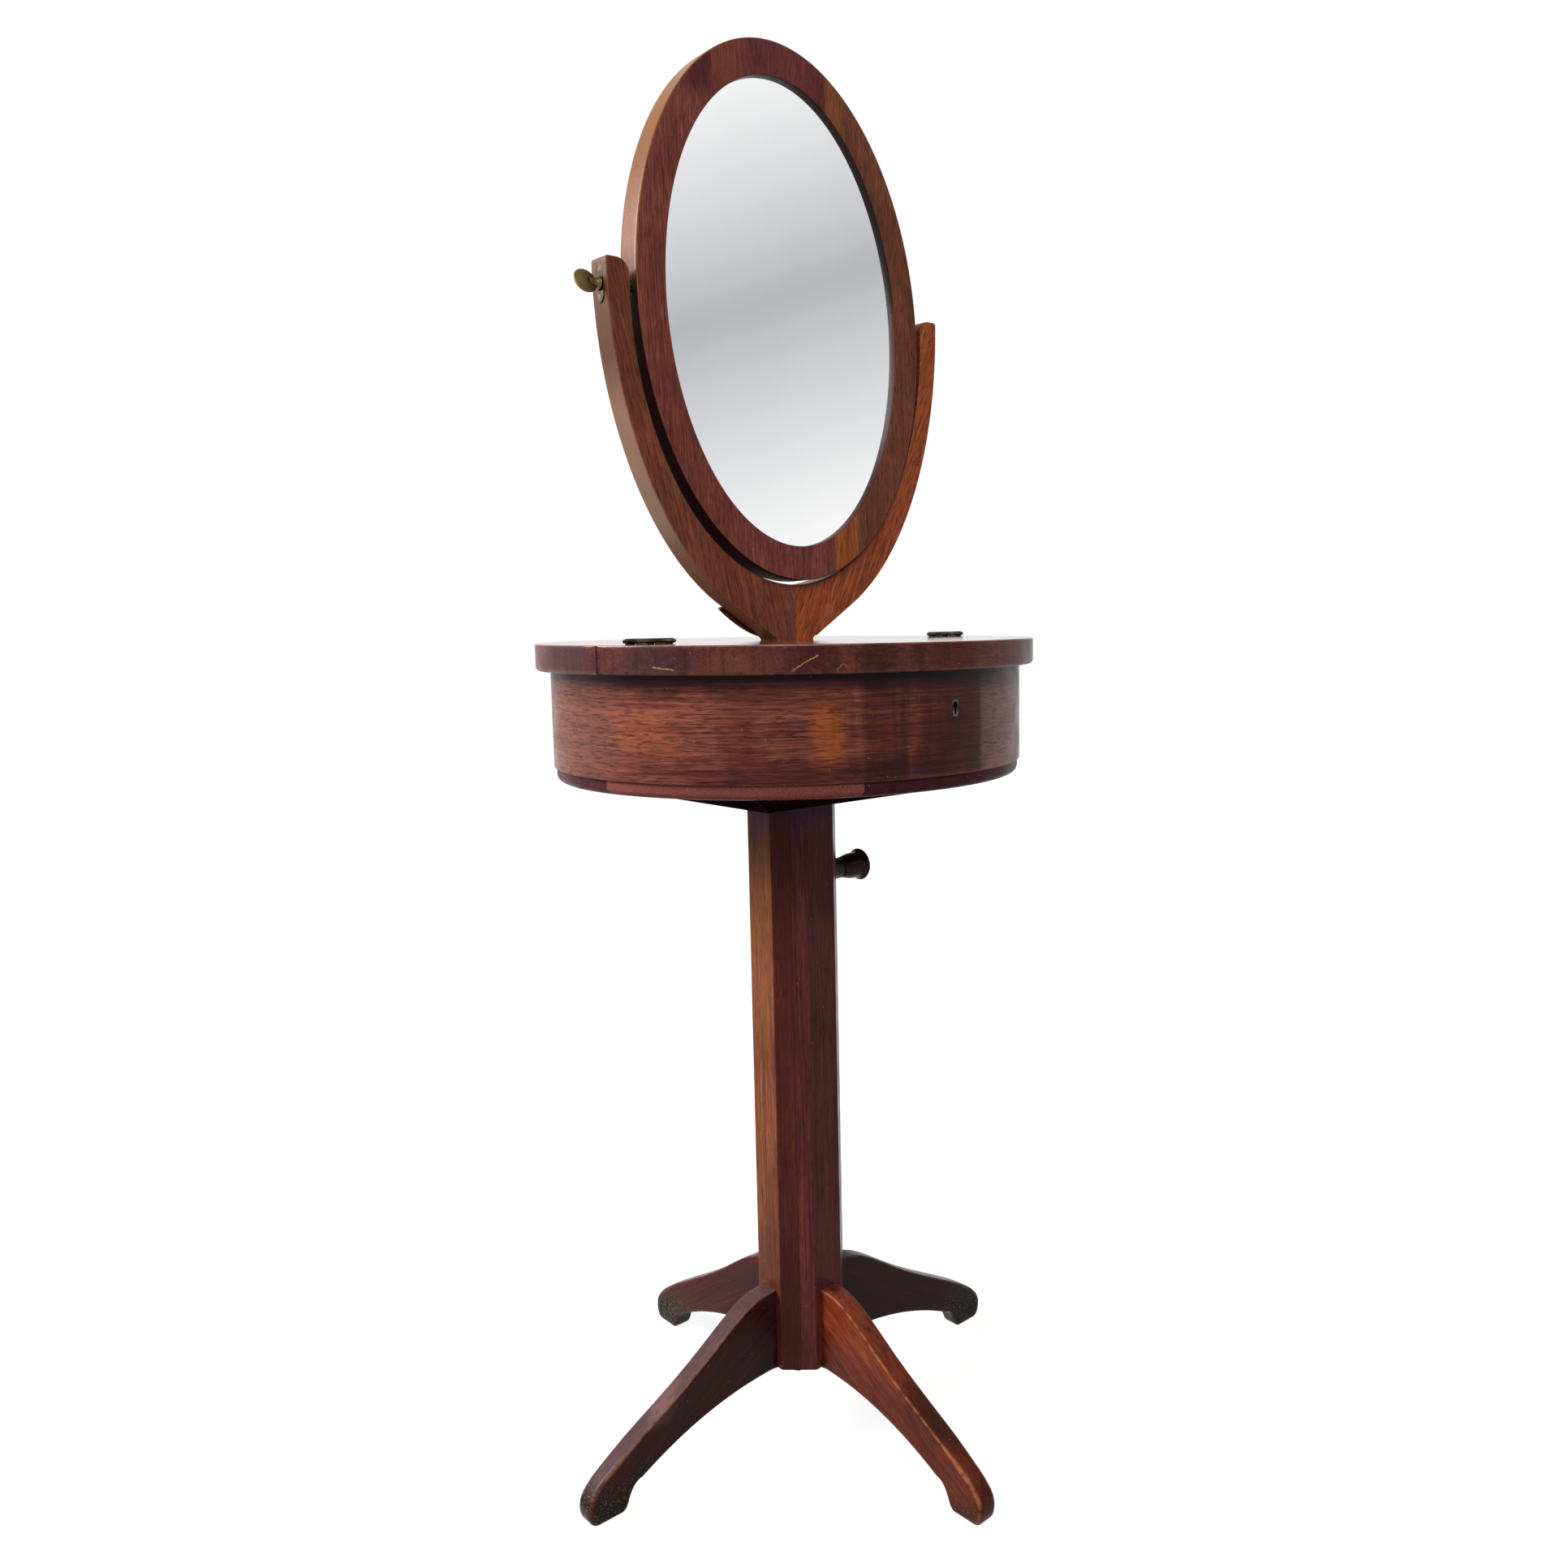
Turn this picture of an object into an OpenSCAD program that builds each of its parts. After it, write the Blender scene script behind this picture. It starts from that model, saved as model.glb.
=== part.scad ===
// Shaving stand: an oval mirror that swings in a yoke, on a post that slides in a hollow
// eight-sided column, over a round lidded box on four legs. Millimetres, +Z up, front is -Y.
// The origin is on the floor, on the column's centre line.

/* [Column] */
// Height of the column's lower end above the floor
column_z = 68; // [60:1:76]
// Length of the column
column_h = 619; // [570:1:670]
// Width of the column across its flat sides
column_w = 89; // [84:1:96]
// Thickness of the two side boards that show as thin strips beside the glue lines
side_board_t = 15; // [13:0.5:16]
// Height of the block that closes the column's lower end
foot_block_h = 30; // [20:1:50]

/* [Legs] */
// Thickness of a leg
leg_t = 22; // [18:0.5:28]
// Distance from the column's centre line to the tip of a toe
leg_reach = 276; // [255:1:300]
// Height of a leg where it meets the column
leg_root_h = 87.5; // [82:0.5:96]
// Length of the flat sole
sole_l = 31; // [26:1:36]
// Height of the heel's step
heel_h = 26; // [22:0.5:30]
// Diameter of the dowels that hold a leg
dowel_d = 9.5; // [8:0.5:11]
// Depth of a dowel in the leg
dowel_in_leg = 30; // [20:1:40]
// Depth of a dowel in the column
dowel_in_column = 12; // [10:0.5:12.5]

/* [Box] */
// Diameter of the top
top_d = 508; // [480:1:540]
// Thickness of the top
top_t = 26.5; // [22:0.5:32]
// Radius of the rounding under the top's rim
rim_round = 4; // [2:0.5:6]
// How far the top stands out past the drum
top_overhang = 14; // [10:0.5:20]
// Thickness of the drum's wall
wall_t = 12; // [10:0.5:14]
// Height of the drum's wall
wall_h = 96.2; // [85:0.1:120]
// Thickness of the bottom board
bottom_t = 13.6; // [11:0.1:17]
// How far the bottom board's edge sits inside the drum
bottom_inset = 2.5; // [1:0.5:4]
// Radius of the bottom board's lower edge
bottom_round = 6; // [3:0.5:9]
// Distance of the lid's seam from the centre line
seam_y = 39.5; // [36:0.5:48]
// Thickness of the rail under the seam
rail_t = 12; // [10:0.5:14]
// How far the rail reaches under the lid
rail_under_lid = 6; // [4:0.5:8]
// Gap between the lid and the fixed part of the top
seam_gap = 0.5; // [0.4:0.1:1]
// Gap under the closed lid
lid_seat_gap = 0.3; // [0.2:0.1:0.5]

/* [Bearer] */
// Length of the bearer's lower face
bearer_l = 218; // [190:1:240]
// Width of the bearer
bearer_w = 197; // [170:1:220]
// Thickness of the bearer
bearer_t = 24.6; // [20:0.2:30]
// Height of the bearer's bevelled ends
bearer_bevel = 20; // [12:1:20]

/* [Hinges] */
// Length of a hinge
hinge_l = 50.8; // [44:0.2:58]
// Distance from a hinge to the end of the seam
hinge_edge = 30.8; // [24:0.2:40]
// Thickness of a hinge leaf
leaf_t = 1.5; // [1.2:0.1:2]
// Depth of a hinge leaf in the seam
leaf_h = 16; // [13:0.5:18]
// Radius of the hinge barrel
barrel_r = 2.5; // [2.3:0.1:3]
// Radius of the hinge pin
hinge_pin_r = 1.2; // [1:0.05:1.4]

/* [Lock] */
// Width of the lock case
lock_w = 44; // [36:1:52]
// Height of the lock case
lock_h = 50; // [44:1:56]
// Thickness of the lock case
lock_t = 10; // [9:0.5:12]
// Height of the keyhole's middle below the drum's upper edge
keyhole_drop = 34.6; // [30:0.2:38]
// Height of the brass thread round the keyhole
escutcheon_h = 15.8; // [13:0.2:18]
// Travel of the lock's bolt
bolt_travel = 4; // [3:0.5:4]

/* [Mirror] */
// Width of the mirror's frame
mirror_w = 359; // [340:1:380]
// Height of the mirror's frame
mirror_h = 529; // [500:1:560]
// Width of the frame's face at the sides
face_side = 32.5; // [28:0.5:38]
// Width of the frame's face at its top and bottom
face_end = 34.6; // [30:0.2:40]
// Thickness of the frame
frame_t = 27; // [25:0.5:30]
// Depth of the glass behind the frame's face
glass_depth = 5.5; // [4:0.5:7]
// Thickness of the glass
glass_t = 4; // [3:0.5:5]
// Thickness of the board behind the glass
mirror_back_t = 6; // [5:0.5:7]
// Width of the rebate that the glass lies in
rebate = 7; // [5:0.5:9]
// Distance of the frame's left glue lines from its middle
joint_left = 83; // [75:0.5:90]
// Distance of its upper right glue line
joint_right = 59.5; // [52:0.5:70]
// Distance of the nearer glue line at the lower right
strip_from = 47; // [42:0.5:54]
// Distance of the farther glue line at the lower right
strip_to = 80; // [74:0.5:86]
// Angle by which the top of the mirror leans back as it stands
mirror_lean = 2.4; // [0:0.1:4]
// Height of the swing axis above the top
pivot_up = 324.5; // [318:0.5:345]

/* [Yoke] */
// Thickness of the yoke
yoke_t = 25.4; // [24:0.1:28]
// Width of an arm's face at the swing axis
arm_w = 24.5; // [22:0.5:28]
// Gap between an arm and the mirror's frame
arm_gap = 6.5; // [6:0.5:8]
// Gap between the frame and the yoke at the bottom
bottom_gap = 3.5; // [3:0.5:6]
// Height of the arms above the swing axis
arm_up = 23; // [20:0.5:28]
// Radius of the arms' inner corners at the top
arm_corner = 13; // [8:0.5:16]
// Height of the centre of the yoke's outer curve above the swing axis
outer_up = 18; // [12:1:19]
// Depth by which that curve would pass the top if it ran on
outer_dip = 12.5; // [8:0.5:16]
// Distance from the centre line where the curve runs out into the foot
foot_run = 82; // [70:1:90]
// Distance of the yoke's middle from the column's centre line, forward negative
yoke_y = -1; // [-2:0.5:1]
// Thickness of the plate glued behind the yoke's joint
back_plate_t = 5; // [4:0.5:6]
// Height of that plate above the top
back_plate_h = 34; // [28:1:40]

/* [Post] */
// Width of the post and of the yoke's foot
post_w = 46; // [42:0.5:50]
// Length of the post below the top
post_l = 547; // [538:1:550]
// Length of the half lap between the post and the yoke
lap_l = 70; // [60:1:80]
// Length of the strips that guide the post at the column's upper end
guide_l = 125.7; // [110:0.1:135]
// Length of the stops on the post's lower end
stop_l = 30; // [24:1:34]

/* [Clamp] */
// Distance of the clamping knob's axis below the bearer
knob_drop = 89.5; // [80:0.5:95]
// Radius of the knob's screw
clamp_screw_r = 7; // [6:0.25:8]
// Length of the turned bush that the screw runs in, outside the column
knob_bush_l = 20; // [14:0.5:24]
// Radius of that bush at the column
knob_bush_r = 14.5; // [12:0.5:16]
// Length of the knob
knob_l = 34; // [30:0.5:40]
// Radius of the knob's outer end
knob_r = 17.5; // [15:0.5:20]
// Distance that the screw moves as the knob turns
clamp_travel = 3; // [2:0.5:3.5]

/* [Brass] */
// Radius of the swing pins
swing_pin_r = 3; // [2.5:0.1:3.2]
// Length of the round-ended plate on an arm
arm_plate_l = 34; // [30:0.5:38]
// Width of that plate
arm_plate_w = 13; // [11:0.5:15]
// Thickness of the plates
plate_t = 1.6; // [1.2:0.1:2]
// Height of the thumbscrew's paddle
paddle_h = 22.8; // [18:0.2:26]
// Length of the thumbscrew's paddle along its axis
paddle_l = 22.8; // [18:0.2:24]
// Distance of the paddle's middle from the arm
paddle_off = 14; // [13:0.5:18]
// Angle by which the top of the paddle leans back as it stands
paddle_turn = 20; // [0:1:90]

/* [Fits] */
// Gap on each side of the sliding post
slide_fit = 0.5; // [0.3:0.1:0.8]
// Gap round a pin that turns
turn_fit = 0.05; // [0.03:0.01:0.09]
// Gap round a screw, dowel or plate in its seat
seat_fit = 0.05; // [0.02:0.01:0.1]
// Gap between parts that turn or slide past each other
side_gap = 0.4; // [0.3:0.1:0.6]

/* [Hidden] */

eps = 0.01;
fine = 96;
oval_steps = 96;

// Heights
column_top_z = column_z + column_h;
bottom_z = column_top_z + bearer_t;
wall_z = bottom_z + bottom_t;
wall_top_z = wall_z + wall_h;
top_z = wall_top_z + top_t;
pivot_z = top_z + pivot_up;
knob_z = column_top_z - knob_drop;
keyhole_z = wall_top_z - keyhole_drop;

// Radii
top_r = top_d / 2;
drum_r = top_r - top_overhang;
inner_r = drum_r - wall_t;

// Post and the hollow that it slides in
post_t = yoke_t + back_plate_t;
post_front = yoke_y - yoke_t / 2;
post_back = post_front + post_t;
hollow_w = column_w - 2 * side_board_t;
hollow_t = post_t + 2 * slide_fit;
hollow_front = post_front - slide_fit;
hollow_back = post_back + slide_fit;
slot_w = post_w + 2 * slide_fit;
guide_t = (hollow_w - slot_w) / 2;
stop_t = (hollow_w - post_w) / 2 - slide_fit;
post_z = top_z - post_l;
stop_z = post_z;
guide_z = column_top_z - guide_l;
// The post can be raised until its stops reach the strips
lift = guide_z - side_gap - stop_z - stop_l;

// Mirror
frame_a = mirror_w / 2;
frame_b = mirror_h / 2;
open_a = frame_a - face_side;
open_b = frame_b - face_end;
rebate_a = open_a + rebate;
rebate_b = open_b + rebate;
yoke_a = frame_a + arm_gap;
yoke_b = frame_b + bottom_gap;
arm_x = yoke_a + arm_w;
outer_b = pivot_up + outer_up - outer_dip;
glass_y = -frame_t / 2 + glass_depth;

// Hinge axis
hinge_y = -seam_y;
hinge_z = top_z + barrel_r + side_gap;
hinge_x = sqrt(top_r * top_r - seam_y * seam_y) - hinge_edge - hinge_l / 2;
knuckle_l = hinge_l / 5;

// Screws
wood_screw_r = 1.7;
wood_head_r = 3.4;

wood = "#6b3a26";
wood_dark = "#4a261c";
wood_light = "#7f4a2c";
brass = "#8a7434";
iron = "#4b4640";

// Points along a cubic curve from a to d that leaves towards b and arrives from c
function curve(a, b, c, d, steps) = [for (i = [0:steps - 1]) let (t = i / steps, u = 1 - t)
    u * u * u * a + 3 * u * u * t * b + 3 * u * t * t * c + t * t * t * d];
// Points of an ellipse from angle a0 to a1
function oval(a, b, a0, a1, steps) = [for (i = [0:steps]) let (t = a0 + (a1 - a0) * i / steps)
    [a * cos(t), b * sin(t)]];

// Stands a flat outline of X and Z up, with its thickness t centred on y
module upright(y, t) {
    translate([0, y + t / 2, 0]) rotate([90, 0, 0]) linear_extrude(t) children();
}
module oval_shape(a, b) {
    polygon([for (i = [0:oval_steps - 1]) let (t = 360 * i / oval_steps)
        [a * cos(t), b * sin(t)]]);
}
module along_x(x, y, z, r, l) {
    translate([x, y, z]) rotate([0, 90, 0]) cylinder(r = r, h = l, $fn = fine);
}
module along_y(x, y, z, r, l) {
    translate([x, y, z]) rotate([-90, 0, 0]) cylinder(r = r, h = l, $fn = fine);
}
// Countersunk screw with its head at the origin, pointing to -Z
module wood_screw(l, r = wood_screw_r, head_r = wood_head_r) {
    rotate_extrude($fn = 48) polygon([[0, 0], [head_r, 0], [head_r, -0.3],
        [r, -0.3 - (head_r - r)], [r, -l + 1.5 * r], [0, -l]]);
}
module mirror_copy(x) {
    if (x < 0) mirror([1, 0, 0]) children();
    else children();
}

// ---- Column ----
module octagon() {
    half = column_w / 2;
    cut = half * tan(22.5);
    polygon([[half, -cut], [half, cut], [cut, half], [-cut, half],
        [-half, cut], [-half, -cut], [-cut, -half], [cut, -half]]);
}
module column_part() {
    color(wood) intersection() {
        translate([0, 0, column_z]) linear_extrude(column_h) octagon();
        children();
    }
}
module side_board_space() {
    translate([hollow_w / 2, -column_w, column_z - 1])
        cube([column_w, 2 * column_w, column_h + 2]);
}
module front_board_space() {
    translate([-hollow_w / 2, -column_w, column_z - 1])
        cube([hollow_w, column_w + hollow_front, column_h + 2]);
}
module back_board_space() {
    translate([-hollow_w / 2, hollow_back, column_z - 1])
        cube([hollow_w, column_w, column_h + 2]);
}
module column_left_board() {
    difference() {
        column_part() mirror([1, 0, 0]) side_board_space();
        dowels(seat_fit);
    }
}
module column_right_board() {
    difference() {
        column_part() side_board_space();
        dowels(seat_fit);
        along_x(0, 0, knob_z, bush_spigot_r + seat_fit, column_w);
    }
}
module column_front_board() {
    difference() {
        column_part() front_board_space();
        dowels(seat_fit);
        column_screw_set(seat_fit);
    }
}
module column_back_board() {
    difference() {
        column_part() back_board_space();
        dowels(seat_fit);
        column_screw_set(seat_fit);
    }
}
module column_foot_block() {
    color(wood_dark) translate([-hollow_w / 2, hollow_front, column_z])
        cube([hollow_w, hollow_t, foot_block_h]);
}
module guide_strips() {
    color(wood_dark) difference() {
        for (s = [-1, 1]) mirror_copy(s)
            translate([slot_w / 2, hollow_front, guide_z]) cube([guide_t, hollow_t, guide_l]);
        along_x(0, 0, knob_z, clamp_screw_r + side_gap, column_w);
    }
}

// Screws down through the bearer into the front and back boards
column_screw_l = bearer_t + 28;
column_screw_y = column_w / 4 + hollow_t / 4;
module column_screw_set(grow = 0) {
    for (x = [-15, 15], y = [-column_screw_y, column_screw_y]) translate([x, y, bottom_z])
        wood_screw(column_screw_l, 2.4 + grow, 4.8 + grow);
}
module column_screws() {
    color(iron) column_screw_set();
}

// ---- Legs ----
leg_root = [column_w / 2, column_z];
leg_shoulder = [column_w / 2, column_z + leg_root_h];
toe_x = leg_reach;
heel_x = leg_reach - 5 - sole_l;
arch_end = [heel_x - 24, heel_h + 0.5];
waist = [0.5464 * column_w / 2 + 0.4536 * leg_reach, column_z + 0.423 * leg_root_h];
ankle = [leg_reach - 14, heel_h + 14];
leg_outline = concat(
    curve(leg_shoulder, leg_shoulder + [36, 2], waist + [-50, 31], waist, 12),
    curve(waist, waist + [38, -23.5], ankle + [-22, 17], ankle, 10),
    curve(ankle, ankle + [8, -7], [toe_x, 25], [toe_x, 14], 6),
    curve([toe_x, 14], [toe_x, 4], [toe_x - 1.5, 0], [toe_x - 5, 0], 5),
    [[toe_x - 5, 0]],
    curve([heel_x, 0], [heel_x - 6, 1], [heel_x - 7, 6], [heel_x - 10, 13], 5),
    curve([heel_x - 10, 13], [heel_x - 13, 20], [heel_x - 17, heel_h], arch_end, 6),
    curve(arch_end, arch_end + [-36, 18], leg_root + [80, 0], leg_root, 14),
    [leg_root]);
module leg(turn) {
    color(wood) difference() {
        rotate([0, 0, turn]) upright(0, leg_t) polygon(leg_outline);
        dowels(seat_fit);
    }
}
module leg_front() {
    leg(-90);
}
module leg_back() {
    leg(90);
}
module leg_left() {
    leg(180);
}
module leg_right() {
    leg(0);
}
module dowels(grow = 0) {
    for (turn = [0, 90, 180, 270], up = [0.28, 0.72]) rotate([0, 0, turn])
        along_x(column_w / 2 - dowel_in_column - grow, 0, column_z + up * leg_root_h,
            dowel_d / 2 + grow, dowel_in_column + dowel_in_leg + 2 * grow);
}
module leg_dowels() {
    color(wood_light) dowels();
}

// ---- Box ----
module post_slot(z, h) {
    translate([-slot_w / 2, hollow_front, z - 1]) cube([slot_w, hollow_t, h + 2]);
}
bearer_flat = bearer_t - bearer_bevel;
module bearer() {
    half = bearer_l / 2;
    color(wood_dark) difference() {
        translate([0, 0, column_top_z]) upright(0, bearer_w) polygon([[-half, 0], [half, 0],
            [half + bearer_bevel, bearer_bevel], [half + bearer_bevel, bearer_t],
            [-half - bearer_bevel, bearer_t], [-half - bearer_bevel, bearer_bevel]]);
        post_slot(column_top_z, bearer_t);
        column_screw_set(seat_fit);
        bearer_screw_set(seat_fit);
    }
}
module bearer_screw_set(grow = 0) {
    for (x = [-1, 1], y = [-1, 1])
        translate([x * (bearer_l / 2 - 22), y * (bearer_w / 2 - 20), column_top_z])
            mirror([0, 0, 1]) wood_screw(bearer_t + 0.7 * bottom_t, 2.2 + grow, 4.4 + grow);
}
module bearer_screws() {
    color(iron) bearer_screw_set();
}
module box_bottom() {
    edge_r = drum_r - bottom_inset;
    color(wood_dark) difference() {
        translate([0, 0, bottom_z]) rotate_extrude($fn = fine) {
            square([edge_r - bottom_round, bottom_t]);
            translate([0, bottom_round]) square([edge_r, bottom_t - bottom_round]);
            translate([edge_r - bottom_round, bottom_round]) intersection() {
                circle(r = bottom_round, $fn = 48);
                translate([0, -bottom_round]) square(bottom_round);
            }
        }
        post_slot(bottom_z, bottom_t);
        bearer_screw_set(seat_fit);
    }
}
lock_back_y = -sqrt(inner_r * inner_r - lock_w * lock_w / 4) - 1;
module drum_wall() {
    color(wood) difference() {
        translate([0, 0, wall_z]) difference() {
            cylinder(r = drum_r, h = wall_h, $fn = fine);
            translate([0, 0, -1]) cylinder(r = inner_r, h = wall_h + 2, $fn = fine);
        }
        lock_space();
        lock_screw_set(seat_fit);
        translate([0, 0, keyhole_z]) upright(-drum_r, 2 * wall_t) keyhole_outline(seat_fit);
    }
}
// The lock is let into the wall's inner face
module lock_space() {
    translate([-lock_w / 2 - seat_fit, lock_back_y - seat_fit, wall_top_z - lock_h - seat_fit])
        cube([lock_w + 2 * seat_fit, wall_t, lock_h + 1]);
}
module seam_rail() {
    color(wood_dark) intersection() {
        translate([0, 0, wall_z]) cylinder(r = inner_r, h = wall_h, $fn = fine);
        translate([-drum_r, hinge_y - rail_under_lid, wall_z]) cube([2 * drum_r, rail_t, wall_h]);
    }
}
// The whole round top, with a slightly rounded rim
module top_disc(z0) {
    translate([0, 0, z0]) rotate_extrude($fn = fine)
        polygon([[0, 0], [top_r - rim_round, 0], [top_r - 0.5 * rim_round, 0.134 * rim_round],
            [top_r - 0.134 * rim_round, 0.5 * rim_round], [top_r, rim_round],
            [top_r, top_z - z0 - 1.5], [top_r - 0.5, top_z - z0 - 0.5],
            [top_r - 1.5, top_z - z0], [0, top_z - z0]]);
}
module fixed_top() {
    color(wood) difference() {
        top_disc(wall_top_z);
        translate([-top_d, hinge_y - top_d, wall_top_z - 1]) cube([2 * top_d, top_d, top_t + 2]);
        post_slot(wall_top_z, top_t);
        leaf_recess(1);
        hinge_screw_set(1, seat_fit);
    }
}
module lid_panel() {
    color(wood) difference() {
        top_disc(wall_top_z + lid_seat_gap);
        translate([-top_d, hinge_y - seam_gap, wall_top_z - 1])
            cube([2 * top_d, 2 * top_d, top_t + 2]);
        leaf_recess(-1);
        hinge_screw_set(-1, seat_fit);
        link_plate_seat();
        link_screw_set(seat_fit);
    }
}

// ---- Hinges ----
// side is 1 for the leaf on the fixed top and -1 for the leaf on the lid
function leaf_y(side) = side > 0 ? hinge_y : hinge_y - seam_gap;
leaf_inner = 0.15;
module leaf_recess(side) {
    for (s = [-1, 1])
        translate([s * hinge_x - hinge_l / 2 - seat_fit,
            side > 0 ? leaf_y(1) - 1 : leaf_y(-1) - leaf_t - seat_fit,
            top_z - leaf_h - seat_fit]) cube([hinge_l + 2 * seat_fit, leaf_t + 1 + seat_fit, leaf_h + 1]);
}
module hinge_screw_set(side, grow = 0) {
    for (s = [-1, 1], x = [-0.32, 0, 0.32])
        translate([s * hinge_x + x * hinge_l, leaf_y(side) + side * 0.05, top_z - 0.6 * leaf_h])
            rotate([side * 90, 0, 0]) wood_screw(14, 1.3 + grow, 2.4 + grow);
}
// Knuckles 0, 2 and 4 belong to the fixed leaf, 1 and 3 to the lid's
module hinge_leaf(s, side) {
    first = side > 0 ? 0 : 1;
    x0 = s * hinge_x - hinge_l / 2;
    tail = side > 0 ? leaf_y(1) : leaf_y(-1) - leaf_t;
    color(brass) difference() {
        union() {
            translate([x0, tail, top_z - leaf_h]) cube([hinge_l, leaf_t, leaf_h]);
            for (k = [first:2:4]) {
                along_x(x0 + k * knuckle_l + leaf_inner, hinge_y, hinge_z, barrel_r,
                    knuckle_l - 2 * leaf_inner);
                translate([x0 + k * knuckle_l + leaf_inner, tail, top_z - 1])
                    cube([knuckle_l - 2 * leaf_inner, leaf_t, hinge_z - top_z + 1]);
            }
        }
        along_x(x0 - 1, hinge_y, hinge_z, hinge_pin_r + turn_fit, hinge_l + 2);
        // room for the other leaf's knuckles as the lid turns
        for (k = [1 - first:2:4])
            along_x(x0 + k * knuckle_l - leaf_inner, hinge_y, hinge_z, barrel_r + 0.3,
                knuckle_l + 2 * leaf_inner);
        hinge_screw_set(side, seat_fit);
    }
}
module hinge_pin(s) {
    x0 = s * hinge_x - hinge_l / 2;
    ball = 1.5 * hinge_pin_r;
    color(iron) {
        along_x(x0 - 0.3, hinge_y, hinge_z, hinge_pin_r, hinge_l + 0.6);
        for (x = [x0 - 0.3 - 0.7 * ball, x0 + hinge_l + 0.3 + 0.7 * ball])
            translate([x, hinge_y, hinge_z]) sphere(r = ball, $fn = 32);
    }
}
module hinge_fixed_leaf_left() {
    hinge_leaf(-1, 1);
}
module hinge_fixed_leaf_right() {
    hinge_leaf(1, 1);
}
module hinge_lid_leaf_left() {
    hinge_leaf(-1, -1);
}
module hinge_lid_leaf_right() {
    hinge_leaf(1, -1);
}
module hinge_pin_left() {
    hinge_pin(-1);
}
module hinge_pin_right() {
    hinge_pin(1);
}
module hinge_fixed_screws() {
    color(iron) hinge_screw_set(1);
}
module hinge_lid_screws() {
    color(iron) hinge_screw_set(-1);
}

// ---- Lock ----
lock_shell = 1.5;
staple_xs = [-7, 13];
staple_w = 6;
staple_t = 2;
staple_h = 9;
hook_h = 2;
finger_h = 3.2;
finger_z = wall_top_z - 6.6;
bar_h = 6.5;
bar_z = wall_top_z - 17;
bolt_t = 2.2;
lock_mid_y = lock_back_y + lock_t / 2 + 0.5;
// How far a staple's tip swings forward before it is clear of the case
staple_swing = staple_h * (hinge_z - wall_top_z + staple_h / 2) / (-lock_mid_y - seam_y);
module keyhole_outline(grow = 0) {
    r = escutcheon_h * 0.28 + grow;
    foot = escutcheon_h * 0.19 + grow;
    up = escutcheon_h * 0.22;
    translate([0, up]) circle(r = r, $fn = 48);
    polygon([[-r * 0.9, up], [-foot, -escutcheon_h / 2 - grow], [foot, -escutcheon_h / 2 - grow],
        [r * 0.9, up]]);
}
module keyhole_opening() {
    translate([0, escutcheon_h * 0.2]) circle(r = escutcheon_h * 0.165, $fn = 48);
    translate([-escutcheon_h * 0.08, -escutcheon_h * 0.38])
        square([escutcheon_h * 0.16, escutcheon_h * 0.55]);
}
module keyhole_escutcheon() {
    depth = 4;
    color(brass) translate([0, 0, keyhole_z]) upright(-drum_r + depth / 2, depth) difference() {
        keyhole_outline();
        keyhole_opening();
    }
}
module lock_case() {
    color(brass) difference() {
        translate([-lock_w / 2, lock_back_y, wall_top_z - lock_h]) cube([lock_w, lock_t, lock_h]);
        // the hollow that the bolt slides in, and the two slots for the staples
        translate([-lock_w / 2 + lock_shell, lock_mid_y - bolt_t / 2 - side_gap,
            bar_z - side_gap]) cube([lock_w - 2 * lock_shell, bolt_t + 2 * side_gap,
            finger_z + finger_h - bar_z + 2 * side_gap]);
        for (x = staple_xs)
            translate([x - staple_w / 2 - 1,
                lock_mid_y - staple_t / 2 - side_gap - staple_swing, wall_top_z - staple_h - 1])
                cube([staple_w + 2, staple_t + 2 * side_gap + staple_swing, staple_h + 2]);
        translate([0, 0, keyhole_z]) upright(lock_back_y, 4) keyhole_opening();
        lock_screw_set(seat_fit);
    }
}
module lock_screw_set(grow = 0) {
    for (x = [-1, 1], z = [8, lock_h - 22])
        translate([x * (lock_w / 2 - 5), lock_back_y + lock_t, wall_top_z - lock_h + z])
            rotate([-90, 0, 0]) wood_screw(lock_t + 5, 1.2 + grow, 2.2 + grow);
}
module lock_screws() {
    color(iron) lock_screw_set();
}
// The bolt is a bar below the staples, with two fingers that slide into their eyes
module lock_bolt() {
    stem_w = 3;
    finger_l = bolt_travel + 0.5;
    bar_l = staple_xs[1] - staple_xs[0] + stem_w;
    color(iron) for (x = staple_xs)
        translate([x - staple_w / 2 - 0.5, lock_mid_y - bolt_t / 2, 0]) {
            translate([-finger_l - stem_w, 0, finger_z]) cube([finger_l + stem_w, bolt_t, finger_h]);
            translate([-finger_l - stem_w, 0, bar_z]) cube([stem_w, bolt_t, finger_z - bar_z + eps]);
            if (x < 0) translate([-finger_l - stem_w, 0, bar_z]) cube([bar_l, bolt_t, bar_h]);
        }
}
module link_plate_seat() {
    translate([-lock_w / 2 - seat_fit, lock_back_y - seat_fit, wall_top_z - 1])
        cube([lock_w + 2 * seat_fit, lock_t + 2 * seat_fit,
            1 + lid_seat_gap + plate_t + seat_fit]);
}
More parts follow.
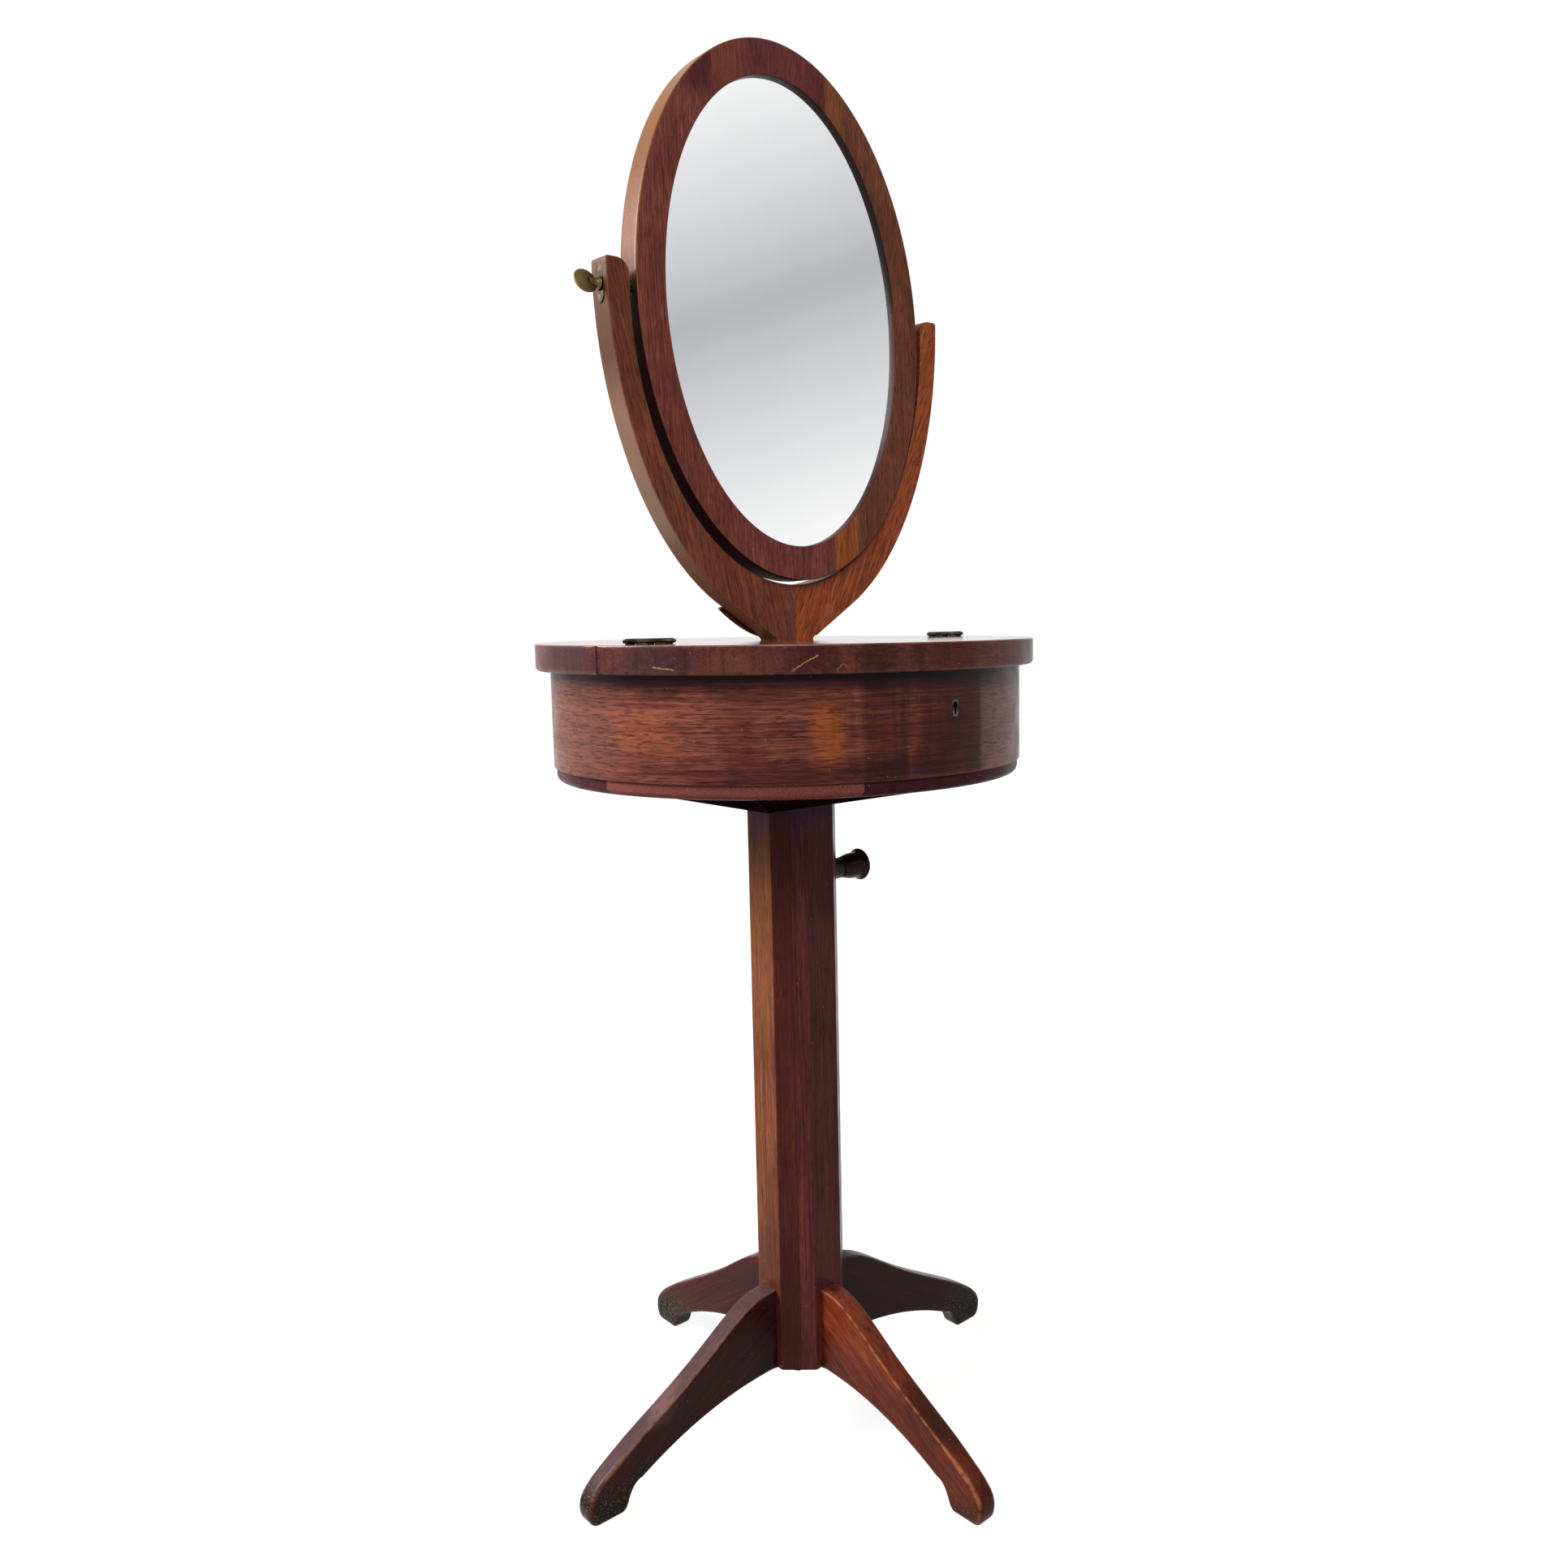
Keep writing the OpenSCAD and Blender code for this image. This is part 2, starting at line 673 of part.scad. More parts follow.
// A plate with two hooked staples under the lid's front edge
module lock_link_plate() {
    plate_z = wall_top_z + lid_seat_gap;
    color(brass) difference() {
        union() {
            translate([-lock_w / 2, lock_back_y, plate_z]) cube([lock_w, lock_t, plate_t]);
            for (x = staple_xs)
                translate([x - staple_w / 2, lock_mid_y - staple_t / 2,
                    wall_top_z - staple_h]) cube([staple_w, staple_t, staple_h + lid_seat_gap + eps]);
        }
        for (x = staple_xs)
            translate([x - staple_w / 2 - 1, lock_mid_y - staple_t,
                wall_top_z - staple_h + hook_h]) cube([staple_w - 1, 2 * staple_t, finger_h + 0.8]);
        link_screw_set(seat_fit);
    }
}
module link_screw_set(grow = 0) {
    for (x = [-1, 1])
        translate([x * (lock_w / 2 - 3.5), lock_mid_y, wall_top_z + lid_seat_gap])
            mirror([0, 0, 1]) wood_screw(14, 1.2 + grow, 2.2 + grow);
}
module link_plate_screws() {
    color(iron) link_screw_set();
}

// ---- Post and yoke ----
foot_flare = 6;
foot_z = top_z + side_gap;
module mirror_post() {
    color(wood_dark) difference() {
        union() {
            translate([-post_w / 2, post_front, post_z]) cube([post_w, post_t, foot_z - lap_l - post_z]);
            translate([-post_w / 2, yoke_y, foot_z - lap_l - eps])
                cube([post_w, post_back - yoke_y, lap_l + eps]);
        }
        lap_screw_set(seat_fit);
    }
}
module post_stops() {
    color(wood_dark) for (s = [-1, 1]) mirror_copy(s)
        translate([post_w / 2, post_front, stop_z]) cube([stop_t, post_t, stop_l]);
}
// Outline of the yoke's right half: the outer curve runs down into the foot, and
// the inner one follows the mirror's frame
outer_angle = acos(foot_run / arm_x);
flare = [post_w / 2 + foot_flare, foot_z + 4];
arm_top = pivot_z + arm_up;
inner_foot = [0, pivot_z - yoke_b];
yoke_half_points = concat(
        [[0, foot_z - lap_l], [post_w / 2, foot_z - lap_l], [post_w / 2, foot_z]],
        curve([post_w / 2, foot_z], [post_w / 2 + 1, foot_z + 2.5], [post_w / 2 + 3, foot_z + 3.5],
            flare, 4),
        [flare],
        [for (p = oval(arm_x, outer_b, -outer_angle, 0, 30)) [p[0], p[1] + pivot_z + outer_up]],
        [[arm_x, arm_top - 3], [arm_x - 1, arm_top - 0.8], [arm_x - 3, arm_top]],
        [for (p = oval(arm_corner, arm_corner, 90, 180, 8))
            [p[0] + yoke_a + arm_corner, p[1] + arm_top - arm_corner]],
        [for (p = oval(yoke_a, yoke_b, 0, -90, 36)) [p[0], p[1] + pivot_z]]);
module yoke_half() {
    difference() {
        upright(yoke_y, yoke_t) polygon(yoke_half_points);
        // the lap: below the top only the front half of the thickness is left
        translate([-1, yoke_y - eps, foot_z - lap_l - 1])
            cube([post_w, yoke_t, lap_l + 1 + eps]);
    }
}
module yoke_right() {
    color(wood_light) difference() {
        yoke_half();
        arm_holes(1);
        lap_screw_set(seat_fit);
    }
}
module yoke_left() {
    color(wood) difference() {
        mirror([1, 0, 0]) yoke_half();
        arm_holes(-1);
        lap_screw_set(seat_fit);
    }
}
// The reinforcing plate behind the yoke's joint follows the yoke's outline
module yoke_back_plate() {
    side = [for (p = yoke_half_points) if (p[0] > 0 && p[1] >= foot_z && p[1] < foot_z + 2 * back_plate_h) p];
    color(wood_dark) intersection() {
        upright(post_back - back_plate_t / 2, back_plate_t) polygon(concat(side,
            [for (i = [len(side) - 1:-1:0]) [-side[i][0], side[i][1]]]));
        translate([-arm_x, -arm_x, foot_z]) cube([2 * arm_x, 2 * arm_x, back_plate_h]);
    }
}
module lap_screw_set(grow = 0) {
    for (x = [-12, 12], z = [0.25, 0.7])
        translate([x, post_back, foot_z - z * lap_l]) rotate([-90, 0, 0])
            wood_screw(post_t - 4, 1.7 + grow, 3.4 + grow);
}
module lap_screws() {
    color(iron) lap_screw_set();
}

// ---- Swing pivots ----
module arm_plate_outline(grow = 0) {
    r = arm_plate_w / 2 + grow;
    span = arm_plate_l / 2 - arm_plate_w / 2;
    for (s = [-1, 1]) translate([0, s * span]) circle(r = r, $fn = 48);
    translate([-r, -span]) square([2 * r, 2 * span]);
}
// Lays an outline of Y and Z against the arm's outer face, t deep
module on_arm(t) {
    translate([arm_x - t, yoke_y, pivot_z]) rotate([90, 0, 90]) linear_extrude(t + 1) children();
}
module arm_holes(s) {
    mirror_copy(s) {
        on_arm(plate_t) arm_plate_outline(seat_fit);
        along_x(yoke_a - 1, yoke_y, pivot_z, swing_pin_r + turn_fit + 0.5, arm_w + 2);
        arm_screw_set(seat_fit);
    }
}
module arm_plate(s) {
    color(brass) mirror_copy(s) difference() {
        intersection() {
            on_arm(plate_t) arm_plate_outline();
            translate([0, -arm_x, pivot_z - arm_x]) cube([arm_x, 2 * arm_x, 2 * arm_x]);
        }
        along_x(yoke_a, yoke_y, pivot_z, swing_pin_r + turn_fit, 2 * arm_w);
        arm_screw_set(seat_fit);
    }
}
module arm_screw_set(grow = 0) {
    for (z = [-1, 1]) translate([arm_x, yoke_y, pivot_z + z * (arm_plate_l / 2 - 5)])
        rotate([0, 90, 0]) wood_screw(13, 1.3 + grow, 2.5 + grow);
}
module arm_plate_left() {
    arm_plate(-1);
}
module arm_plate_right() {
    arm_plate(1);
}
module arm_plate_screws() {
    color(iron) for (s = [-1, 1]) mirror_copy(s) arm_screw_set();
}
bush_l = 14;
bush_flange_r = 8;
// The pin on the right has a low round head over the arm's plate
module swing_pin_right() {
    color(brass) {
        along_x(frame_a - bush_l + 2, yoke_y, pivot_z, swing_pin_r,
            arm_x - frame_a + bush_l - 2 + 0.3);
        translate([arm_x + 0.3, yoke_y, pivot_z]) rotate([0, 90, 0])
            cylinder(r1 = 5.5, r2 = 4.2, h = 1.8, $fn = 48);
    }
}
module tilt_thumbscrew() {
    neck = paddle_off - 3;
    color(brass) mirror([1, 0, 0]) {
        along_x(frame_a - bush_l + 2, yoke_y, pivot_z, swing_pin_r,
            arm_x - frame_a + bush_l - 2 + 1);
        translate([arm_x + side_gap, yoke_y, pivot_z]) rotate([0, 90, 0])
            rotate_extrude($fn = 64) polygon([[0, 0], [6.4, 0], [6.4, 1.4], [5.2, 2.4],
                [4.1, 4.5], [3.6, neck - 2], [3.6, neck], [0, neck]]);
        translate([arm_x + paddle_off, yoke_y, pivot_z])
            rotate([90 - paddle_turn, 0, 0]) translate([0, 0, -1.4])
            linear_extrude(2.8) oval_shape(paddle_l / 2, paddle_h / 2);
    }
}

// ---- Mirror ----
// Everything here is drawn upright about the swing axis and then leaned back
module leaned() {
    translate([0, yoke_y, pivot_z]) rotate([-mirror_lean, 0, 0]) children();
}
module frame_ring() {
    difference() {
        upright(0, frame_t) oval_shape(frame_a, frame_b);
        upright(0, frame_t + 2) oval_shape(open_a, open_b);
        translate([0, glass_depth, 0]) upright(0, frame_t) oval_shape(rebate_a, rebate_b);
        frame_bush_space();
        back_pin_set(seat_fit);
    }
}
module frame_piece(x0, x1, z0, z1) {
    leaned() intersection() {
        frame_ring();
        translate([x0, -frame_t, z0]) cube([x1 - x0, 2 * frame_t, z1 - z0]);
    }
}
module frame_top() {
    color(wood) frame_piece(-joint_left, joint_right, 0, frame_b + 1);
}
module frame_bottom() {
    color(wood_dark) frame_piece(-joint_left, strip_from, -frame_b - 1, 0);
}
module frame_bottom_strip() {
    color(wood_light) frame_piece(strip_from, strip_to, -frame_b - 1, 0);
}
module frame_left() {
    color(wood) frame_piece(-frame_a - 1, -joint_left, -frame_b, frame_b);
}
module frame_right() {
    color(wood) difference() {
        frame_piece(joint_right, frame_a + 1, -frame_b, frame_b);
        leaned() translate([joint_right - 1, -frame_t, -frame_b - 1])
            cube([strip_to - joint_right + 1, 2 * frame_t, frame_b + 1]);
    }
}
module mirror_glass() {
    color("#c8ced2") leaned() translate([0, glass_y + glass_t / 2, 0])
        upright(0, glass_t) oval_shape(rebate_a - seat_fit * 4, rebate_b - seat_fit * 4);
}
module mirror_back() {
    color(wood_light) leaned() translate([0, glass_y + glass_t + mirror_back_t / 2, 0])
        upright(0, mirror_back_t) oval_shape(rebate_a - seat_fit * 4, rebate_b - seat_fit * 4);
}
// Headless pins driven into the rebate's wall, lying on the back board
module back_pin_set(grow = 0) {
    pin_r = 0.8;
    pin_in = 6;
    pin_out = 8;
    pin_y = glass_y + glass_t + mirror_back_t + pin_r + grow;
    for (i = [0:9]) {
        t = 18 + 36 * i;
        translate([rebate_a * cos(t), pin_y - grow, rebate_b * sin(t)])
            rotate([0, 90 - atan2(rebate_a * sin(t), rebate_b * cos(t)), 0])
            translate([0, 0, -pin_out]) cylinder(r = pin_r + grow, h = pin_in + pin_out + grow, $fn = 24);
    }
}
module mirror_back_pins() {
    color(iron) leaned() back_pin_set();
}
module frame_bush_space() {
    for (s = [-1, 1]) mirror_copy(s) {
        along_x(frame_a - bush_l - seat_fit, 0, 0, swing_pin_r + 2 + seat_fit, bush_l + 2);
        along_x(frame_a - plate_t - seat_fit, 0, 0, bush_flange_r + seat_fit, plate_t + 2);
    }
}
// A flanged brass bush let into the frame's edge carries the swing pin
module frame_bush(s) {
    color(brass) leaned() mirror_copy(s) difference() {
        union() {
            along_x(frame_a - bush_l, 0, 0, swing_pin_r + 2, bush_l - plate_t + eps);
            along_x(frame_a - plate_t, 0, 0, bush_flange_r, plate_t);
        }
        along_x(frame_a - bush_l - 1, 0, 0, swing_pin_r + turn_fit, bush_l + 2);
    }
}
module frame_bush_left() {
    frame_bush(-1);
}
module frame_bush_right() {
    frame_bush(1);
}

// ---- Clamp ----
// A bush let into the right board holds the screw. The screw pushes a shoe against the
// post, and the knob is fixed on the screw
bush_spigot_r = clamp_screw_r + 2.5;
module knob_bush() {
    half = column_w / 2;
    color(wood_dark) translate([0, 0, knob_z]) rotate([0, 90, 0]) rotate_extrude($fn = 72)
        polygon([[clamp_screw_r + turn_fit, hollow_w / 2 + 0.1], [bush_spigot_r, hollow_w / 2 + 0.1],
            [bush_spigot_r, half], [knob_bush_r, half], [knob_bush_r, half + 1.5],
            [knob_bush_r - 0.8, half + 2.5], [10.8, half + knob_bush_l],
            [clamp_screw_r + turn_fit, half + knob_bush_l]]);
}
shoe_x = post_w / 2 + 0.2;
shoe_t = guide_t - 2 * side_gap;
module clamp_shoe() {
    color(wood_light) along_x(shoe_x, 0, knob_z, clamp_screw_r - 1, shoe_t);
}
clamp_screw_x = shoe_x + shoe_t;
knob_root = column_w / 2 + knob_bush_l + clamp_travel / 2;
screw_in_knob = 12;
module clamp_screw() {
    color(wood_dark) along_x(clamp_screw_x, 0, knob_z, clamp_screw_r,
        knob_root + screw_in_knob - clamp_screw_x);
}
module height_knob() {
    k = knob_l / 34;
    r = knob_r;
    color(wood_dark) translate([knob_root, 0, knob_z]) rotate([0, 90, 0]) difference() {
        rotate_extrude($fn = 72) polygon(concat(
            [[0, 0], [0.6 * r, 0], [0.64 * r, 0.5 * k], [0.64 * r, 1.5 * k], [0.62 * r, 2 * k]],
            curve([0.62 * r, 2 * k], [0.7 * r, 6 * k], [0.8 * r, 10 * k], [0.81 * r, 19 * k], 8),
            curve([0.81 * r, 19 * k], [0.82 * r, 25 * k], [0.96 * r, 25 * k], [r, 28 * k], 6),
            curve([r, 28 * k], [r, 31.5 * k], [0.62 * r, 34 * k], [0, 34 * k], 8)));
        translate([0, 0, -1])
            cylinder(r = clamp_screw_r + seat_fit, h = screw_in_knob + 1 + seat_fit, $fn = 64);
    }
}

column_left_board();
column_right_board();
column_front_board();
column_back_board();
column_foot_block();
guide_strips();
knob_bush();
column_screws();
leg_front();
leg_back();
leg_left();
leg_right();
leg_dowels();
bearer();
bearer_screws();
box_bottom();
drum_wall();
seam_rail();
fixed_top();
hinge_fixed_leaf_left();
hinge_fixed_leaf_right();
hinge_pin_left();
hinge_pin_right();
hinge_fixed_screws();
lock_case();
lock_screws();
keyhole_escutcheon();
lid_panel();
hinge_lid_leaf_left();
hinge_lid_leaf_right();
hinge_lid_screws();
lock_link_plate();
link_plate_screws();
lock_bolt();
mirror_post();
post_stops();
yoke_left();
yoke_right();
yoke_back_plate();
lap_screws();
arm_plate_left();
arm_plate_right();
arm_plate_screws();
swing_pin_right();
frame_top();
frame_bottom();
frame_bottom_strip();
frame_left();
frame_right();
mirror_glass();
mirror_back();
mirror_back_pins();
frame_bush_left();
frame_bush_right();
tilt_thumbscrew();
clamp_screw();
height_knob();
clamp_shoe();
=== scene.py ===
# Looks of a mahogany shaving stand: an oval mirror in a yoke, on a post that slides in a
# hollow column, with a round lidded box on four legs. Sizes below are in millimetres.
import bpy
import bmesh
import numpy as np
from functools import partial
from math import radians
from mathutils import Matrix, Vector


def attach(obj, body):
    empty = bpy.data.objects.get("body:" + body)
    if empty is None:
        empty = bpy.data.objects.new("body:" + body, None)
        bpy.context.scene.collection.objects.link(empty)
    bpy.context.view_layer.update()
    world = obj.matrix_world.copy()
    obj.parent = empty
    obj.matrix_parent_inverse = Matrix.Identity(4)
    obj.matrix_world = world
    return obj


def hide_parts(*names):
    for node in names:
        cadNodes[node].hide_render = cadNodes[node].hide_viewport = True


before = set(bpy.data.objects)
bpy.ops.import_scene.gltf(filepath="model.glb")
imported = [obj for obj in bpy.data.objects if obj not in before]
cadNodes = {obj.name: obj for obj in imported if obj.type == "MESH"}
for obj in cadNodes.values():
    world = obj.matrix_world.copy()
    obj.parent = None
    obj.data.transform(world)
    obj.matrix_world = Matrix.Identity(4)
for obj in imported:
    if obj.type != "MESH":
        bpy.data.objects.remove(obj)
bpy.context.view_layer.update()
mm = 0.001
crease = 32  # an edge stays sharp where its faces turn by more than these degrees


# Cubic curve from a to d that leaves towards b and arrives from c, without its last point
def curve(a, b, c, d, steps):
    t = np.arange(steps)[:, None] / steps
    a, b, c, d = (np.asarray(p, float) for p in (a, b, c, d))
    return (1 - t) ** 3 * a + 3 * (1 - t) ** 2 * t * b + 3 * (1 - t) * t ** 2 * c + t ** 3 * d


# Ellipse of semi-axes a and b from angle t0 to t1 in degrees, both ends included
def oval(a, b, t0, t1, steps):
    t = np.radians(np.linspace(t0, t1, steps + 1))
    return np.stack([a * np.cos(t), b * np.sin(t)], 1)


# Vectors over their own lengths
def unit(v):
    return v / np.linalg.norm(v, axis=-1, keepdims=True)


# Quads between the rows of a grid of points, joined round its second direction
def gridFaces(rows, columns):
    i, j = np.meshgrid(np.arange(rows - 1), np.arange(columns), indexing="ij")
    k = (j + 1) % columns
    quads = np.stack([i * columns + j, i * columns + k, (i + 1) * columns + k, (i + 1) * columns + j], -1)
    return quads.reshape(-1, 4)


# The same with the first and the last row closed by a face each
def sweepFaces(rows, columns):
    end = np.arange(columns)[None]
    return [gridFaces(rows, columns), end[:, ::-1], end + (rows - 1) * columns]


# Marks of an arris: up to 1 in its middle and down again, as a sine does
def arrisMarks(steps=4):
    return np.sin(np.pi * np.arange(1, steps + 2) / (steps + 2))


# A board: the outline, counter-clockwise in u and v, is carried from w = lo to w = hi. Every
# ring of it is the outline moved inwards along its mitred normals: a holding ring on the
# face, a quarter round at the arris, a holding ring on the edge, and the same back again.
# worn rises to 1 along the middle of an arris and is 0 on faces and edges
def slab(outline, lo, hi, arris, arrisHi=None, hold=2.5, steps=4):
    o = np.asarray(outline, float)
    ahead = unit(np.roll(o, -1, 0) - o)
    normal = np.stack([ahead[:, 1], -ahead[:, 0]], 1)
    before = np.roll(normal, 1, 0)
    mitre = (normal + before) / np.maximum(1 + (normal * before).sum(1), 0.35)[:, None]
    t = np.linspace(0, np.pi / 2, steps + 1)
    inset, height, worn = [], [], []
    for r, base, way in ((arris, lo, 1), (arrisHi if arrisHi is not None else arris, hi, -1)):
        r = np.broadcast_to(np.asarray(r, float), len(o))[None]
        k = np.minimum(hold, 0.35 * (hi - lo) - r)
        rings = np.concatenate([r + k, r * (1 - np.sin(t))[:, None], 0 * r])
        rises = np.concatenate([0 * r, r * (1 - np.cos(t))[:, None], r + k])
        marks = np.concatenate([[0], arrisMarks(steps), [0]])
        inset.append(rings[::way])
        height.append((base + way * rises)[::way])
        worn.append(marks)
    inset, height = np.concatenate(inset), np.concatenate(height)
    flat = o[None] - mitre[None] * inset[..., None]
    points = np.concatenate([flat, height[..., None]], -1)
    rows, n = height.shape
    return points.reshape(-1, 3), sweepFaces(rows, n), np.repeat(np.concatenate(worn), n)


# A board whose outline's corners are eased by planing. Each becomes an arc of its own radius,
# tangent to both edges: the centre lies on the bisector, and the arc turns from one tangent
# point to the other. Beside it a holding point stands on each edge. The marks rise to 1 on
# the arcs and are 0 on the holding points
def easedBoard(points, radii, lo, hi, arris, hold=3.0, steps=4):
    p, r = np.asarray(points, float), np.asarray(radii, float)
    back, ahead = unit(np.roll(p, 1, 0) - p), unit(np.roll(p, -1, 0) - p)
    half = np.arccos(np.clip((back * ahead).sum(1), -1, 1)) / 2
    centre = p + unit(back + ahead) * (r / np.sin(half))[:, None]
    first = p + back * (r / np.tan(half))[:, None] - centre
    last = p + ahead * (r / np.tan(half))[:, None] - centre
    sweep = (np.pi - 2 * half)[:, None]
    t = np.linspace(0, 1, steps + 1)[None]
    w0, w1 = np.sin((1 - t) * sweep) / np.sin(sweep), np.sin(t * sweep) / np.sin(sweep)
    arc = centre[:, None] + w0[..., None] * first[:, None] + w1[..., None] * last[:, None]
    before, after = arc[:, :1] + hold * back[:, None], arc[:, -1:] + hold * ahead[:, None]
    marks = np.tile(np.concatenate([[0], arrisMarks(steps), [0]]), len(p))
    board, faces, worn = slab(np.concatenate([before, arc, after], 1).reshape(-1, 2), lo, hi, arris)
    return board, faces, np.maximum(worn, np.resize(marks, len(worn)))


# A turned piece: the closed profile of radius and height goes once round the axis
def turning(profile, steps, worn=None):
    p = np.asarray(profile, float)
    t = np.linspace(0, 2 * np.pi, steps, endpoint=False)[:, None]
    points = np.stack([p[:, 0] * np.cos(t), p[:, 0] * np.sin(t), p[:, 1] + 0 * t], -1)
    rows = gridFaces(steps + 1, len(p)) % (steps * len(p))
    marks = np.zeros(len(p)) if worn is None else np.asarray(worn, float)
    return points.reshape(-1, 3), [rows], np.tile(marks, steps)


# A shape whose w is laid along the named axis, mirrored by signs and then moved
def laid(shape, up="z", move=(0, 0, 0), signs=(1, 1, 1)):
    u, v, w = shape[0].T
    points = np.stack({"z": (u, v, w), "y": (u, w, v), "x": (w, u, v)}[up], 1)
    return points * signs + move, *shape[1:]


# Points turned about an axis through the origin
def turnedAbout(points, axis, degrees):
    return points @ np.array(Matrix.Rotation(radians(degrees), 3, axis)).T


# Puts arrays of points and faces into a mesh, merges what coincides, points faces outwards
# and leaves edges sharp where the surface turns by more than sharp degrees
def buildMesh(name, points, faces, worn, sharp=crease):
    mesh = bpy.data.meshes.new(name)
    loops = np.concatenate([f.ravel() for f in faces]).astype(np.int32)
    sizes = np.concatenate([np.full(len(f), f.shape[1]) for f in faces])
    mesh.vertices.add(len(points))
    mesh.vertices.foreach_set("co", (points * mm).astype(np.float32).ravel())
    mesh.loops.add(len(loops))
    mesh.polygons.add(len(sizes))
    mesh.polygons.foreach_set("loop_start", np.concatenate([[0], np.cumsum(sizes)[:-1]]).astype(np.int32))
    mesh.polygons.foreach_set("vertices", loops)
    mesh.update(calc_edges=True)
    mesh.attributes.new("worn", "FLOAT", "POINT").data.foreach_set("value", worn.astype(np.float32))
    shell = bmesh.new()
    shell.from_mesh(mesh)
    bmesh.ops.remove_doubles(shell, verts=shell.verts, dist=2e-6)
    bmesh.ops.dissolve_degenerate(shell, edges=shell.edges, dist=1e-7)
    bmesh.ops.recalc_face_normals(shell, faces=shell.faces)
    shell.to_mesh(mesh)
    shell.free()
    mesh.shade_smooth()
    mesh.set_sharp_from_angle(angle=radians(sharp))
    return mesh


# Several shapes in one mesh
def together(*shapes):
    points, faces, worn, start = [], [], [], 0
    for p, f, w in shapes:
        points.append(p)
        faces += [part + start for part in f]
        worn.append(w)
        start += len(p)
    return np.concatenate(points), faces, np.concatenate(worn)


def addObject(name, data):
    new = bpy.data.objects.new(name, data)
    bpy.context.scene.collection.objects.link(new)
    return new


# A shape becomes a piece with a finish, rides on its body and stands for CAD nodes
def addPiece(name, shape, finish, body, replaced, sharp=crease):
    piece = addObject(name, buildMesh(name, *shape, sharp))
    piece.data.materials.append(finishes[finish])
    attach(piece, body)
    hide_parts(*replaced)
    return piece


# Cuts closed shapes out of a piece and keeps the result as its mesh
def cutOut(piece, *shapes):
    for shape in shapes:
        tool = addObject("cutter", buildMesh("cutter", *shape))
        cut = piece.modifiers.new("cut", "BOOLEAN")
        cut.operation, cut.solver, cut.object = "DIFFERENCE", "EXACT", tool
        graph = bpy.context.evaluated_depsgraph_get()
        result = bpy.data.meshes.new_from_object(piece.evaluated_get(graph))
        piece.modifiers.remove(cut)
        old, piece.data = piece.data, result
        toolMesh = tool.data
        bpy.data.objects.remove(tool)
        for spent in (old, toolMesh):
            bpy.data.meshes.remove(spent)
    piece.data.name = piece.name
    piece.data.set_sharp_from_angle(angle=radians(crease))


# A box between two values of each of x, y and z
def block(x0, x1, y0, y1, z0, z1):
    points = np.array([[x, y, z] for x in (x0, x1) for y in (y0, y1) for z in (z0, z1)], float)
    faces = np.array([[0, 1, 3, 2], [4, 6, 7, 5], [0, 4, 5, 1], [2, 3, 7, 6], [0, 2, 6, 4], [1, 5, 7, 3]])
    return points, [faces], np.zeros(8)


# sRGB hex to linear colour
def linear(code):
    v = np.array([int(code[k:k + 2], 16) for k in (1, 3, 5)]) / 255
    return (*np.where(v <= 0.04045, v / 12.92, ((v + 0.055) / 1.055) ** 2.4), 1.0)


# Gives a node its inputs, each of them a value or a socket to link
def feed(tree, node, inputs):
    for name, value in inputs.items():
        if isinstance(value, bpy.types.NodeSocket):
            tree.links.new(value, node.inputs[name])
        else:
            node.inputs[name].default_value = value


# Adds a node with its settings and links and returns its first output, the one that out
# names, or the node where out is None. Stops are places and colours, the ramp's ends first
def put(tree, kind, inputs=None, out=0, stops=(), **settings):
    new = tree.nodes.new("ShaderNode" + kind)
    for name, value in settings.items():
        setattr(new, name, value)
    feed(tree, new, inputs or {})
    for k, (place, code) in enumerate(stops):
        stop = new.color_ramp.elements[k] if k < 2 else new.color_ramp.elements.new(place)
        stop.position, stop.color = place, linear(code)
    return new if out is None else new.outputs[out]


def newMaterial(name):
    material = bpy.data.materials.new(name)
    material.use_nodes = True
    tree = material.node_tree
    return material, tree, tree.nodes["Principled BSDF"]


times, smooth = {"operation": "MULTIPLY"}, {"interpolation_type": "SMOOTHSTEP"}
bend = 10.0  # mm that the grain wanders, in waves 100 mm wide and 250 mm long
stir = 30.0  # mm that the outlines of stains and soft bands are stirred by
tremble = 2.0  # mm that a scratch trembles


